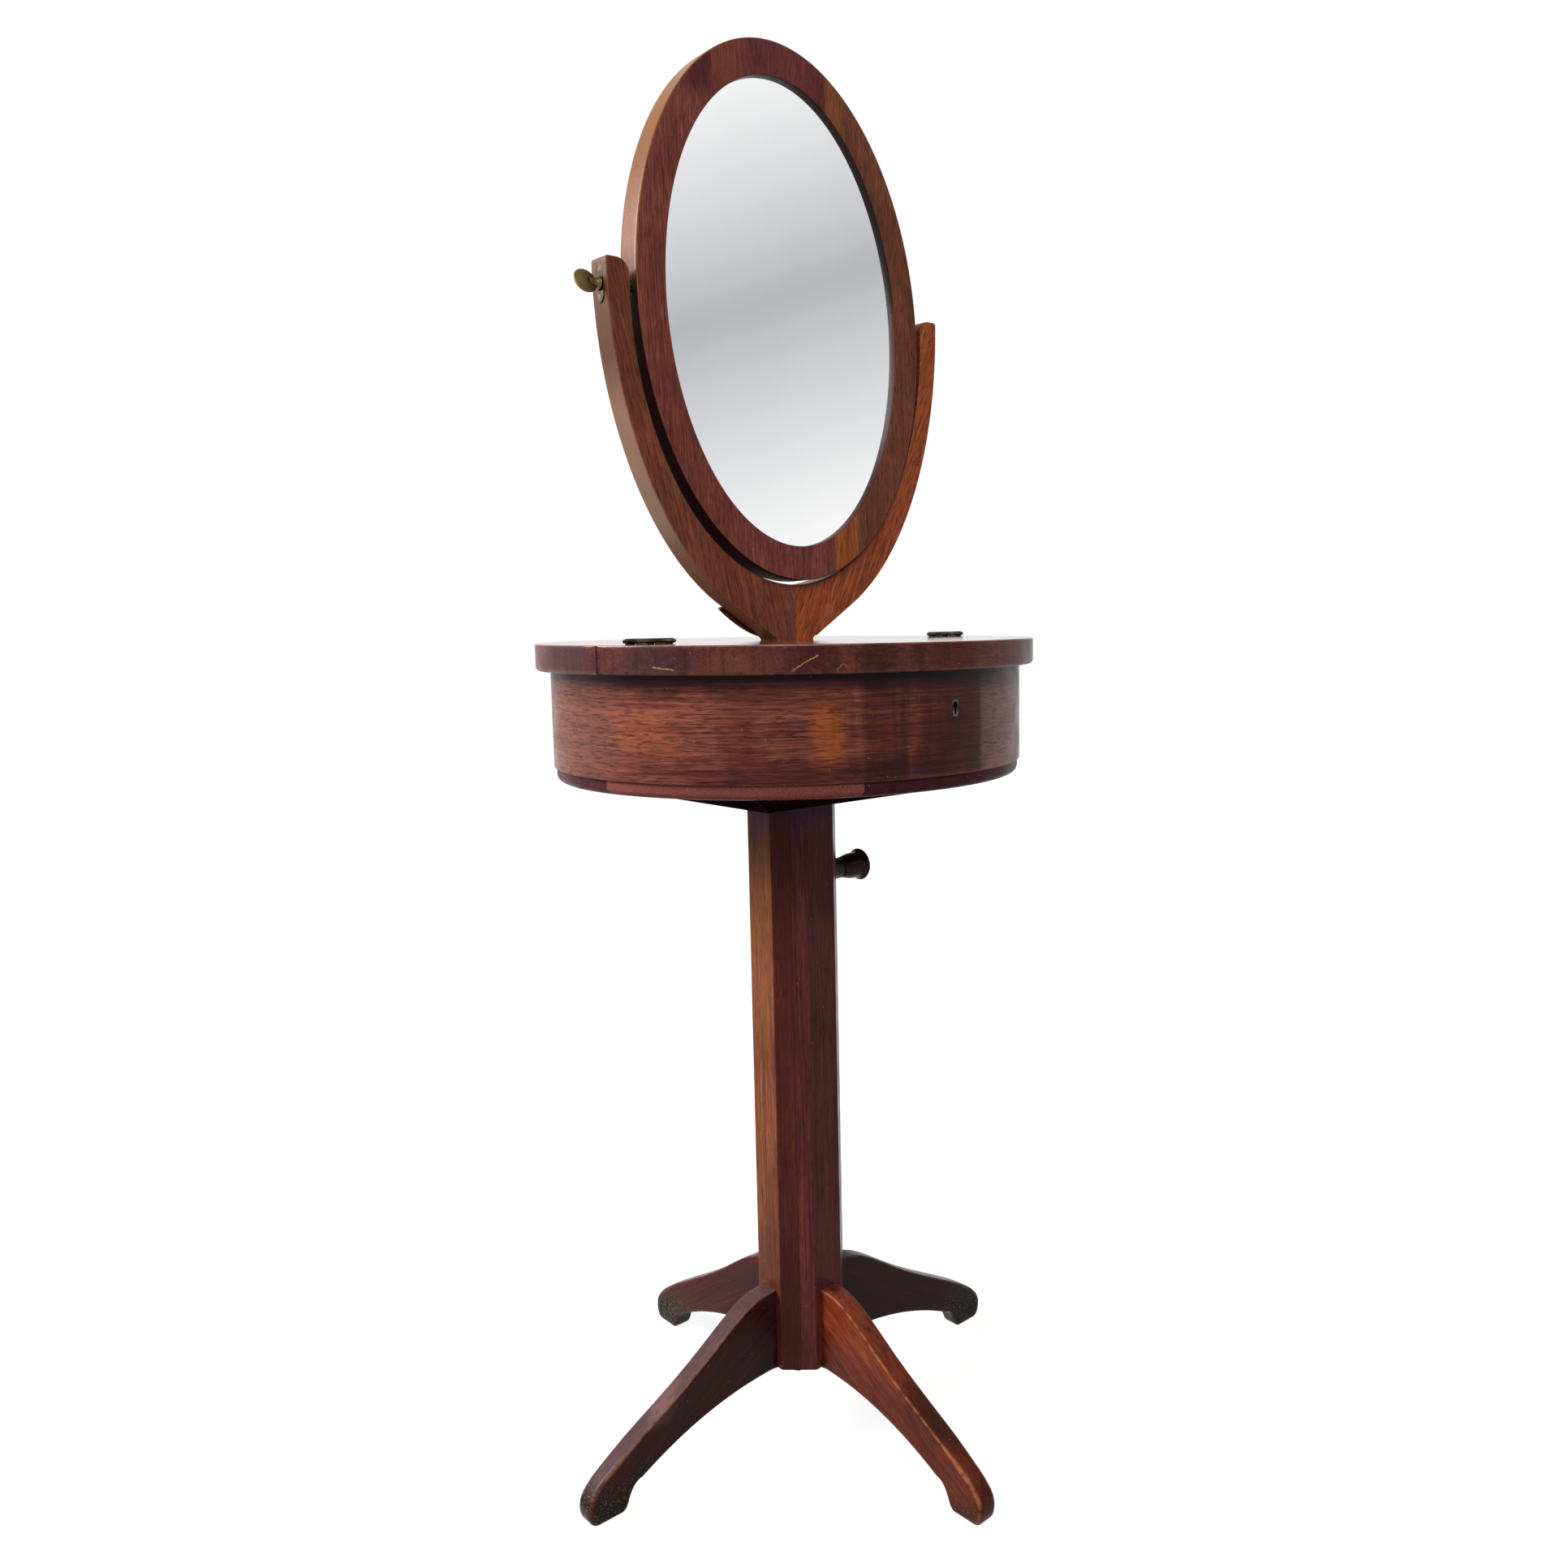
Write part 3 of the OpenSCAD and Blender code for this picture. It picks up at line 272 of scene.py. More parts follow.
# Mahogany, sawn, planed and French polished by hand, and more than a century old. To the eye:
# a deep red-brown with ribbons some 20 mm wide, fine streaks and short dark flecks along the
# grain, a hand-rubbed gloss that is duller in patches, arrises rubbed pale, pale specks of
# old dust, and soft stains where light and hands have changed the colour. Some stains and
# bands, part of the paleness of faces that look up, and the tones of sawn edges are painted
# light, shade and sheen.
# Grain runs along z of the turned coordinates; "round" wraps it round a drum of that radius.
# Flecks are drawn about 1 mm wide, coarser than real pores, so that they show
def mahogany(name, look):
    material, tree, skin = newMaterial(name)
    add = partial(put, tree)
    place = add("TexCoord", out="Object")
    normal = add("TexCoord", out="Normal")
    if "round" in look:
        turned = add("Mapping", {"Vector": place, "Rotation": (0, 0, radians(135))})
        parts = add("SeparateXYZ", {0: turned}, None).outputs
        angle = add("Math", {0: parts[1], 1: parts[0]}, operation="ARCTAN2")
        arc = add("Math", {0: angle, 1: look["round"] * mm}, **times)
        place = add("CombineXYZ", {0: parts[2], 2: arc})
    along = add("Mapping", {"Vector": place, "Rotation": [radians(a) for a in look["turn"]],
                            "Location": [s * mm for s in look["shift"]]})
    slow = add("VectorMath", {0: along, 1: (10, 10, 4)}, **times)  # waves in a metre
    wander = add("TexNoise", {"Vector": slow, "Scale": 1.0}, "Color")
    bent = add("VectorMath", {0: wander, 1: (bend * mm, bend * mm, 0), 2: along}, operation="MULTIPLY_ADD")
    layer = {}
    for key, source, size, detail, rough, out in (  # sizes in millimetres
            ("ribbons", bent, (22, 22, 330), 3, 0.55, 0),
            ("streaks", bent, look["streak"], 4, 0.65, 0),
            ("flecks", bent, (1, 1, 14), 3, 0.6, 0),
            ("mottle", place, (60, 60, 90), 3, 0.55, 0),
            ("stir", place, (45, 45, 45), 3, 0.6, "Color"),
            ("dull", place, (33, 33, 33), 3, 0.6, 0),
            ("rub", place, (11, 11, 11), 4, 0.6, 0),
            ("scuffs", place, (8, 8, 5), 6, 0.75, 0),
            ("ragged", place, (2.4, 2.4, 2.4), 2, 0.7, "Color"),
            ("kicks", place, (2.6, 2.6, 1.3), 2, 0.7, 0)):
        scaled = add("VectorMath", {0: source, 1: [1 / (s * mm) for s in size]}, **times)
        layer[key] = add("TexNoise", {"Vector": scaled, "Scale": 1.0, "Detail": detail,
                                      "Roughness": rough}, out)
    share = look["ribbon"]
    fine = add("Math", {0: layer["streaks"], 1: 1 - share}, **times)
    grain = add("Math", {0: layer["ribbons"], 1: share, 2: fine}, operation="MULTIPLY_ADD")
    colour = add("ValToRGB", {0: grain}, stops=[(0.36, look["dark"]), (0.64, look["light"]),
                                               (0.5, look["mid"])])

    # lays a colour over what is there by a mask and its strength. flat is the share of it
    # that hides the wood's figure
    def coat(mask, strength, code, flat=0.6):
        nonlocal colour
        tone = linear(code)
        if flat:
            figure = add("Mix", {0: 1.0, 6: colour, 7: tone}, 2, data_type="RGBA", blend_type="SOFT_LIGHT")
            tone = add("Mix", {0: flat, 6: figure, 7: tone}, 2, data_type="RGBA")
        mask = add("Math", {0: mask, 1: strength}, **times)
        colour = add("Mix", {0: mask, 6: colour, 7: tone}, 2, data_type="RGBA")

    code, strength = look["mottle"]
    coat(add("MapRange", {0: layer["mottle"], 1: 0.46, 2: 0.68}), strength, code)
    if "upper" in look:  # faces that look up, paler with dust and handling, and with painted light and sheen from above
        code, strength = look["upper"]
        lift = add("SeparateXYZ", {0: normal}, 2)
        upper = add("MapRange", {0: lift, 1: 0.2, 2: 0.6}, **smooth)
        coat(upper, strength, code)
    # stains: soft ellipsoids about points of the object, their outlines broken by noise; one on
    # the column's left board is painted light
    stirred = add("VectorMath", {0: layer["stir"], 1: (stir * mm,) * 3, 2: place}, operation="MULTIPLY_ADD")
    for centre, reach, code, strength in look["stains"]:
        middle = [(c + stir / 2) * mm for c in centre]
        off = add("VectorMath", {0: stirred, 1: middle}, operation="SUBTRACT")
        off = add("VectorMath", {0: off, 1: [1 / (r * mm) for r in reach]}, **times)
        off = add("VectorMath", {0: off}, "Value", operation="LENGTH")
        coat(add("MapRange", {0: off, 1: 0.35, 2: 1.0, 3: 1.0, 4: 0.0}, **smooth), strength, code)
    # bands between two planes across an axis: another board behind a sharp joint, or a soft darker
    # or paler stretch; on the column's top they are painted shade, on the drum painted shade under
    # the rim and painted sheen at its sides
    for axis, first, last, soft, code, strength in look["bands"]:
        source, offset = (stirred, stir / 2 * sum(axis)) if soft > 4 else (place, 0)
        at = add("VectorMath", {0: source, 1: axis}, "Value", operation="DOT_PRODUCT")
        rise, fall = (add("MapRange", {0: at, 1: (edge + offset - soft) * mm, 3: low, 4: 1.0 - low,
                                       2: (edge + offset + soft) * mm}, **smooth)
                      for edge, low in ((first, 0.0), (last, 1.0)))
        both = add("Math", {0: rise, 1: fall}, **times)
        coat(both, strength, code)
    # drips: narrow dark runs down the surface, in a stretch of it
    for size, first, last, code, strength in look["drips"]:
        at = add("SeparateXYZ", {0: place}, 2)
        off = add("Math", {0: at, 1: (first + last) / 2 * mm}, operation="SUBTRACT")
        off = add("Math", {0: off}, operation="ABSOLUTE")
        patch = add("MapRange", {0: off, 1: (last - first) / 3 * mm, 2: (last - first) / 2 * mm,
                                 3: strength, 4: 0.0})
        scaled = add("VectorMath", {0: place, 1: [1 / (s * mm) for s in size]}, **times)
        runs = add("TexNoise", {"Vector": scaled, "Scale": 1.0, "Detail": 3.0, "Roughness": 0.7})
        coat(add("MapRange", {0: runs, 1: 0.46, 2: 0.64}), patch, code)
    fleck = add("MapRange", {0: layer["flecks"], 1: 0.5, 2: 0.6})
    coat(fleck, look["flecks"], look["pore"], 0)
    if "scuffed" in look:  # feet kicked and mopped black below a height, and scratched through
        low = look["scuffed"]
        high = add("SeparateXYZ", {0: stirred}, 2)
        base = add("MapRange", {0: high, 1: low * mm, 2: (low + 45) * mm, 3: 0.92, 4: 0.0}, **smooth)
        through = add("MapRange", {0: layer["kicks"], 1: 0.57, 2: 0.64, 4: 0.8})
        coat(base, 1.0, "#120c0a", 0)
        coat(through, base, "#8a7658", 0)
    # arrises rubbed through the polish, unevenly: the meshes mark them with "worn"
    edge = add("Attribute", out="Fac", attribute_name="worn")
    edge = add("Math", {0: edge, 1: 3.0}, operation="POWER")
    uneven = add("MapRange", {0: layer["rub"], 1: 0.38, 2: 0.56})
    bare = add("Math", {0: edge, 1: uneven}, **times)
    coat(bare, look["wear"], look["worn"], 0)
    if "walls" in look:  # sawn edges that face away from a centre or towards it, by height: painted light and shade
        walls = look["walls"]
        spoke = add("VectorMath", {0: place, 1: [c * mm for c in walls["centre"]]}, operation="SUBTRACT")
        spoke = add("VectorMath", {0: spoke}, operation="NORMALIZE")
        facing = add("VectorMath", {0: normal, 1: spoke}, "Value", operation="DOT_PRODUCT")
        high = add("SeparateXYZ", {0: place}, 2)
        bottom, top = ((walls["level"] + fade) * mm for fade in (-25, 25))
        over, under = (add("MapRange", {0: high, 1: bottom, 2: top, 3: low, 4: 1.0 - low})
                       for low in (0.0, 1.0))
        for key, way, part in (("outer", 1, over), ("low", 1, under), ("inner", -1, over),
                               ("innerLow", -1, under)):
            code, strength = walls[key]
            mask = add("MapRange", {0: facing, 1: 0.3 * way, 2: 0.75 * way, 4: strength}, **smooth)
            coat(mask, part, code, 0.8)
    if "scuffs" in look:  # small dull marks of handling
        marks = add("MapRange", {0: layer["scuffs"], 1: 0.52, 2: 0.66, 4: look["scuffs"]})
        coat(marks, add("MapRange", {0: layer["dull"], 1: 0.42, 2: 0.6, 3: 0.15}), "#94735e", 0.3)
    # scratches: ragged capsules from point to point of the object
    ragged = add("VectorMath", {0: layer["ragged"], 1: (tremble * mm,) * 3, 2: place},
                 operation="MULTIPLY_ADD")
    for start, end, wide, code, strength in look["scratches"]:
        run = np.subtract(end, start)
        length = float(np.linalg.norm(run))
        line = [float(r) / length for r in run]
        start = [(c + tremble / 2) * mm for c in start]
        out = add("VectorMath", {0: ragged, 1: start}, operation="SUBTRACT")
        at = add("VectorMath", {0: out, 1: line}, "Value", operation="DOT_PRODUCT")
        held = add("MapRange", {0: at, 1: 0.0, 2: length * mm, 3: 0.0, 4: length * mm})
        foot = add("VectorMath", {0: line, 3: held}, operation="SCALE")
        off = add("VectorMath", {0: out, 1: foot}, "Value", operation="DISTANCE")
        near = add("MapRange", {0: off, 1: wide * 0.3 * mm, 2: wide * mm, 3: 1.0, 4: 0.0})
        coat(near, strength, code, 0)
    # specks of dust and paint, under a millimetre across, in a few of the cells of 9 mm
    cells = add("TexVoronoi", {"Vector": place, "Scale": 110.0}, None).outputs
    dot = add("MapRange", {0: cells["Distance"], 1: 0.05, 2: 0.06, 3: 0.7, 4: 0.0})
    lot = add("SeparateColor", {0: cells["Color"]})
    drawn = add("Math", {0: lot, 1: look["specks"]}, operation="LESS_THAN")
    coat(dot, drawn, "#b98f6c", 0)

    low, high = look["rough"]
    sheen = add("MapRange", {0: layer["dull"], 1: 0.35, 2: 0.65, 3: low, 4: high})
    sheen = add("Math", {0: bare, 1: 0.15, 2: sheen}, operation="MULTIPLY_ADD")
    polish = look["coat"]
    if "upperRough" in look:
        sheen = add("Mix", {0: upper, 2: sheen, 3: look["upperRough"]}, data_type="FLOAT")
        polish = add("Mix", {0: upper, 2: polish, 3: look["upperCoat"]}, data_type="FLOAT")
    pores = add("Math", {0: fleck, 1: -0.8}, **times)
    height = add("Math", {0: layer["streaks"], 1: 0.8, 2: pores}, operation="MULTIPLY_ADD")
    bump = add("Bump", {"Strength": 0.35, "Distance": look["bump"] * mm, "Height": height})
    feed(tree, skin, {"Base Color": colour, "Roughness": sheen, "Normal": bump, "IOR": 1.5,
                      "Specular IOR Level": look["gloss"], "Coat Weight": polish,
                      "Coat Roughness": 0.14})
    return material


# Cast or rolled brass, once polished and left to tarnish: a brown-gold with darker film in
# hollows, brighter where fingers rub it
def agedBrass(name, film, metal, rubbed, patch):
    material, tree, skin = newMaterial(name)
    add = partial(put, tree)
    cloud = add("TexNoise", {"Vector": add("TexCoord", out="Object"), "Scale": 1 / (patch * mm),
                             "Detail": 4.0, "Roughness": 0.55})
    colour = add("ValToRGB", {0: cloud}, stops=[(0.3, film), (0.7, rubbed), (0.5, metal)])
    sheen = add("MapRange", {0: cloud, 1: 0.3, 2: 0.7, 3: 0.45, 4: 0.28})
    bump = add("Bump", {"Strength": 0.2, "Distance": 0.04 * mm, "Height": cloud})
    feed(tree, skin, {"Base Color": colour, "Roughness": sheen, "Normal": bump, "Metallic": 1.0})
    return material


# Iron screws and pins, blued by the maker and browned since, in patches of 2 mm
def oldIron(name):
    material, tree, skin = newMaterial(name)
    add = partial(put, tree)
    rust = add("TexNoise", {"Vector": add("TexCoord", out="Object"), "Scale": 500.0, "Detail": 5.0,
                            "Roughness": 0.6})
    colour = add("ValToRGB", {0: rust}, stops=[(0.35, "#2e2520"), (0.7, "#6a625b"), (0.55, "#4a433d")])
    sheen = add("MapRange", {0: rust, 1: 0.3, 2: 0.7, 3: 0.6, 4: 0.35})
    feed(tree, skin, {"Base Color": colour, "Roughness": sheen, "Metallic": 0.85})
    return material


# Plate glass silvered on its back: a clear bright reflection with a faint haze, 110 mm wide
def silveredGlass(name):
    material, tree, skin = newMaterial(name)
    add = partial(put, tree)
    haze = add("TexNoise", {"Vector": add("TexCoord", out="Object"), "Scale": 9.0, "Detail": 3.0,
                            "Roughness": 0.6})
    colour = add("ValToRGB", {0: haze}, stops=[(0.3, "#f8f9f9"), (0.7, "#fbfbfb")])
    feed(tree, skin, {"Base Color": colour, "Roughness": 0.02, "Metallic": 1.0})
    return material


# Places and sizes in millimetres. Stains have a centre, a reach, a colour and a strength. Bands
# have an axis, two ends along it, the softness of their edges, a colour and a strength. Drips
# have the size of their noise, two heights, a colour and a strength. Scratches have two
# points, a width, a colour and a strength
reds = dict(pore="#1d0a0b", worn="#a86c48", mottle=("#3a1a22", 0.35), gloss=0.1, coat=0.04,
            rough=(0.26, 0.4), bump=0.06, turn=(0, 0, 0), shift=(0, 0, 0), streak=(2.6, 2.6, 90),
            ribbon=0.4, flecks=0.45, wear=0.5, specks=0.12, stains=(), bands=(), drips=(), scratches=())
dusty = dict(reds, gloss=0.06, coat=0.03)
# Painted shade under the box, with some old dirt: the top of each column board darkened towards blue-purple
shadeUnderBox = ((0, 0, 1), 672, 720, 40, "#241e74", 0.86)
# Tones of the frame's and the yoke's sawn edges above and below a level, facing out or in, are painted
# light and shade. Frame: the upper outer edge tan, painted light; the lower outer edge near-black, painted
# shade in the gap beside the yoke; the upper inner edge black, painted shade; the lower inner edge dark
# red-brown. Yoke: the upper outer edge darker and the lower one paler, painted light and shade; the inner
# edge dark, painted shade in the gap beside the frame
frameEdgeLightAndShade = dict(centre=(0, -1, 1172), level=1190, outer=("#7c4c14", 0.85), low=("#1c0e0b", 0.9),
                  inner=("#0a0606", 0.97), innerLow=("#3c140c", 0.95))
yokeEdgeLightAndShade = dict(centre=(0, -1, 1172), level=1085, outer=("#5f412d", 0.85), low=("#90735e", 0.8),
                 inner=("#2a1812", 0.6), innerLow=("#2a1812", 0.6))
framed = dict(reds, walls=frameEdgeLightAndShade, wear=0.35, ribbon=0.25, streak=(1.6, 1.6, 60), flecks=0.5)
woods = {
    # The column's boards are of one wood: the left board has the palest tones, the front one darker and the
    # right and back ones darker still, partly their own tone and partly painted light and shade. The left
    # board is also paler in a patch below the box, painted light, and darker towards its foot
    "columnLeft": dict(dusty, dark="#522619", mid="#804425", light="#9e633a", shift=(40, 0, 0), wear=0.12,
        bands=[shadeUnderBox, ((0, -1, 0), 18.7, 60, 0.3, "#502329", 0.85)],
        stains=[((-44, 0, 120), (60, 60, 200), "#5c3428", 0.7),
        ((-44, 0, 520), (60, 60, 130), "#a86c40", 0.45)]),
    "columnFront": dict(dusty, dark="#46201f", mid="#622e2d", light="#7c4038", shift=(90, 30, 0),
        specks=0.3, bands=[shadeUnderBox], wear=0.15,
        scratches=[((-20, -45, 598), (-19, -45, 584), 0.9, "#a58468", 0.7),
        ((-14, -45, 561), (-12, -45, 560), 0.8, "#a58468", 0.7),
        ((-22, -44, 470), (-21, -44, 452), 0.6, "#8d6450", 0.6)]),
    "columnRight": dict(dusty, dark="#2c1519", mid="#3f1f22", light="#52292a", shift=(10, 80, 200),
        bands=[shadeUnderBox], wear=0.12),
    "columnBack": dict(dusty, dark="#31161a", mid="#4a241f", light="#623429", shift=(60, 10, 400),
        bands=[shadeUnderBox], wear=0.15),
    # The four legs are of one wood: the front leg has pale, warm tones and the others dark ones, partly
    # their own tone and partly painted light and shade. The front leg is darker towards the floor
    "leg_front": dict(dusty, dark="#52190f", mid="#7c2f19", light="#954a28", turn=(58, 0, 0),
        shift=(0, 20, 0), scuffed=6, specks=0.4, wear=0.75, flecks=0.6, upper=("#8c4e36", 0.45),
        stains=[((0, -222, 80), (24, 90, 34), "#38241c", 0.8)],
        bands=[((0, 0, 1), -50, 104, 34, "#4a1f18", 0.55)]),
    "leg_back": dict(dusty, dark="#2a090c", mid="#431115", light="#581d1c", turn=(-58, 0, 0),
        shift=(0, 70, 0), scuffed=32, specks=0.3, wear=0.3),
    "leg_left": dict(dusty, dark="#230d0d", mid="#341516", light="#48221f", turn=(0, -58, 0),
        shift=(0, 40, 0), scuffed=24, specks=0.4, upper=("#785a5c", 0.7), wear=0.4,
        stains=[((-188, 0, 98), (38, 24, 38), "#94706a", 0.65)]),
    "leg_right": dict(dusty, dark="#1f0d0a", mid="#2e1611", light="#3f2218", turn=(0, 58, 0),
        shift=(0, 90, 0), scuffed=32, specks=0.3, wear=0.3),
    "bearer": dict(reds, dark="#170a10", mid="#221019", light="#30181e", turn=(0, 90, 0),
        shift=(0, 0, 30), gloss=0.0, coat=0.0, wear=0.15, mottle=("#2a1418", 0.3)),
    "bottom": dict(reds, dark="#35181d", mid="#4a2026", light="#603031", turn=(0, 90, 40),
        shift=(0, 40, 60), wear=0.1, gloss=0.03, coat=0.0,
        bands=[((-0.806, -0.592, 0), 205, 300, 0.4, "#a26056", 0.9)]),
    # The drum's bands from 806 to 840 mm high are painted shade under the rim; the pale grey band from 226
    # mm round and the pale tan one from -400 to -150 mm are painted sheen at its sides
    "drum": dict(reds, dark="#4a2021", mid="#7a4035", light="#a0624a", round=240, shift=(0, 0, 50),
        flecks=0.65, wear=0.1, ribbon=0.35, drips=[((160, 50, 9), 50, 240, "#2a0c14", 0.4)], gloss=0.08,
        coat=0.04, specks=0.3, mottle=("#3a1822", 0.4), stains=[
        ((765, 0, 57), (42, 50, 24), "#be6c34", 0.75), ((764, 0, 118), (26, 50, 14), "#a85c30", 0.5),
        ((770, 0, 215), (90, 50, 50), "#330c18", 0.85), ((775, 0, 165), (90, 50, 40), "#3a0f17", 0.8),
        ((735, 0, 60), (20, 50, 200), "#3c1820", 0.6), ((770, 0, -105), (36, 50, 60), "#a86038", 0.35),
        ((770, 0, -20), (50, 50, 26), "#5a2420", 0.5)], bands=[((0, 0, 1), 88, 136, 5, "#2b0f16", 0.65),
        ((0, 0, 1), 135.6, 136.6, 0.5, "#7a4a34", 0.5), ((0, 0, 1), 226, 500, 4, "#967672", 0.8),
        ((1, 0, 0), 806, 840, 9, "#2c131c", 0.8), ((1, 0, 0), 816.5, 840, 2, "#0c0506", 0.9),
        ((0, 0, 1), -400, -150, 24, "#7d5648", 0.6)]),
    "top": dict(reds, dark="#492322", mid="#602f2b", light="#7b4334", turn=(0, 90, 0), shift=(0, 20, 10),
        specks=0.7, wear=0.3, gloss=0.09, coat=0.05, flecks=0.5, scuffs=0.6, upper=("#9a6844", 0.5),
        upperRough=0.09, upperCoat=0.5, bump=0.025, drips=[((5, 5, 90), 812, 848, "#2c1016", 0.4)],
        stains=[((-196, -162, 830), (60, 60, 16), "#80503a", 0.6),
        ((-90, -238, 834), (24, 30, 40), "#2a0c0f", 0.6), ((-52, -249, 834), (8, 30, 40), "#4a1a1a", 0.6),
        ((-232, -104, 838), (40, 50, 30), "#45303a", 0.7),
        ((-142, -211, 834), (30, 30, 40), "#40120f", 0.75),
        ((-15, -253, 834), (40, 30, 40), "#5e2024", 0.8),
        ((-250, 10, 834), (30, 60, 30), "#50383f", 0.7)],
        bands=[((0, 1, 0), -40.8, -38.8, 0.4, "#120708", 0.9)],
        scratches=[((-158, -199, 825), (-150, -205, 832), 0.8, "#b98a58", 0.7),
        ((-150, -205, 832), (-140, -212, 838), 0.8, "#b98a58", 0.7),
        ((-126, -221, 826), (-121, -223, 831), 0.6, "#a87850", 0.7),
        ((-121, -223, 831), (-117, -226, 827), 0.6, "#a87850", 0.7),
        ((-233, -101, 829), (-224, -119, 827), 0.9, "#b99068", 0.8),
        ((-218, -131, 824), (-215, -136, 824), 0.8, "#b99068", 0.7)]),
    "frame": dict(framed, dark="#572528", mid="#682f2c", light="#7a3f32", shift=(15, 0, 0),
        stains=[((-70, -14, 1415), (26, 60, 60), "#8a5030", 0.5),
        ((45, -14, 1400), (28, 60, 60), "#642428", 0.5)]),
    "frameLeft": dict(framed, dark="#5c2927", mid="#743930", light="#884c3a", shift=(75, 0, 130),
        stains=[((-98, -14, 1402), (34, 60, 60), "#421826", 0.85)]),
    "frameBottom": dict(framed, dark="#5c2c2c", mid="#783b36", light="#8c4c3e", shift=(95, 0, 60)),
    "frameOrange": dict(framed, dark="#7c3b1e", mid="#9c5226", light="#ae6834", shift=(35, 0, 30)),
    "frameRight": dict(framed, dark="#572a1c", mid="#6f3b27", light="#864f30", shift=(55, 0, 330),
        stains=[((72, -14, 1392), (20, 60, 50), "#a0602f", 0.5)]),
    "yokeLeft": dict(reds, dark="#632d21", mid="#79402b", light="#8b5038", turn=(0, 14, 0),
        shift=(20, 0, 60), walls=yokeEdgeLightAndShade, flecks=0.6, ribbon=0.25,
        bands=[((0, 0, 1), 1050, 1300, 60, "#4c2219", 0.4)]),
    "yokeRight": dict(reds, dark="#8a3f1d", mid="#a65028", light="#b8643a", turn=(0, -24, 0),
        shift=(60, 0, 10), walls=yokeEdgeLightAndShade, flecks=0.7, ribbon=0.25),
    "post": dict(reds, dark="#35170f", mid="#4f241b", light="#683a26", shift=(5, 5, 600)),
    "inside": dict(reds, dark="#4a2a1a", mid="#6a4128", light="#86583a", coat=0.0, gloss=0.1,
        rough=(0.6, 0.75)),
    "ebonised": dict(reds, dark="#1c080b", mid="#3a1417", light="#5c261f", turn=(0, 90, 0),
        worn="#6b4127", rough=(0.18, 0.3), gloss=0.08, coat=0.04, mottle=("#1c0a0a", 0.2)),
}
finishes = {key: mahogany("mahogany_" + key, look) for key, look in woods.items()}
metals = {  # name, film in the hollows, metal, where it is rubbed, width of the patches in mm
    "brass": ("aged_brass", "#463921", "#5f5130", "#7f6e48", 24),
    "bronze": ("brown_toned_brass", "#221b16", "#463b2f", "#6e6048", 9),
    "plate": ("plate_under_varnish", "#21130e", "#38251c", "#50382a", 9),
    "greyBrass": ("grey_toned_brass", "#1e1916", "#544b42", "#8a8074", 9),
}
for key, look in metals.items():
    finishes[key] = agedBrass(*look)
finishes["iron"] = oldIron("old_iron")
finishes["glass"] = silveredGlass("silvered_plate_glass")
print("materials", len(finishes))

dress = {
    "columnLeft": "column_left_board",
    "columnRight": "column_right_board",
    "columnFront": "column_front_board",
    "columnBack": "column_back_board",
    "leg_left": "leg_left",
    "leg_right": "leg_right",
    "leg_front": "leg_front",
    "leg_back": "leg_back",
    "bearer": "bearer",
    "bottom": "box_bottom seam_rail",
    "drum": "drum_wall",
    "top": "fixed_top lid_panel",
    "frame": "frame_top",
    "frameLeft": "frame_bottom frame_left",
    "frameOrange": "frame_bottom_strip",
    "frameRight": "frame_right",
    "yokeLeft": "yoke_left",
    "yokeRight": "yoke_right",
    "post": "mirror_post post_stops yoke_back_plate",
    "inside": "column_foot_block guide_strips leg_dowels mirror_back clamp_shoe clamp_screw",
    "ebonised": "knob_bush height_knob",
    "bronze": "hinge_fixed_leaf_left hinge_fixed_leaf_right hinge_lid_leaf_left "
              "hinge_lid_leaf_right hinge_pin_left hinge_pin_right arm_plate_screws",
    "plate": "arm_plate_left arm_plate_right",
    "greyBrass": "keyhole_escutcheon",
    "brass": "lock_case lock_link_plate swing_pin_right tilt_thumbscrew frame_bush_left "
             "frame_bush_right",
    "iron": "column_screws bearer_screws hinge_fixed_screws hinge_lid_screws lock_screws "
            "link_plate_screws lock_bolt lap_screws mirror_back_pins",
    "glass": "mirror_glass",
}
for key, names in dress.items():
    for name in names.split():
        data = cadNodes[name].data
        if not data.materials:
            data.materials.append(finishes[key])
        for k in range(len(data.materials)):
            data.materials[k] = finishes[key]
undressed = set(cadNodes) - set(" ".join(dress.values()).split())
print("dressed", len(cadNodes) - len(undressed), "nodes, left:", sorted(undressed))


# The column: four boards glued round a hollow, and a bore in the right one for the knob's screw
column = {"half": 44.5, "low": 68.0, "high": 687.0, "inner": 29.5, "front": -14.2, "back": 17.2,
          "arris": 1.3, "glue": 0.25, "postHole": 23.5}
cornerAt = column["half"] * np.tan(np.pi / 8)
glueAt = cornerAt + column["half"] - column["inner"]
h, i, e, g = (column[key] for key in ("half", "inner", "arris", "glue"))
knob = {"z": 597.5, "root": 66.0, "r": 17.5, "long": 34.0, "bore": 9.55}
knobBore = turning([(0, 20), (knob["bore"], 20), (knob["bore"], 60), (0, 60)], 64)
for side, way, face in (("Left", -1, None), ("Right", 1, None), ("Front", 1, column["front"]),
                        ("Back", -1, column["back"])):
    corners = np.array([(i, glueAt), (i, -glueAt), (h, -cornerAt), (h, cornerAt)]) * way
    radii = (g, g, e, e)
    if face:
        outside = np.array([(-i, -glueAt), (-cornerAt, -h), (cornerAt, -h), (i, -glueAt)]) * way
        corners, radii = [(-i * way, face), *outside, (i * way, face)], (g, g, e, e, g, g)
    board = easedBoard(corners, radii, column["low"], column["high"], 0.4)
    piece = addPiece("column_%s" % side.lower(), board, "column" + side, "stand",
                     ["column_%s_board" % side.lower()])
    if side == "Right":
        cutOut(piece, laid(knobBore, "x", (0, 0, knob["z"])))

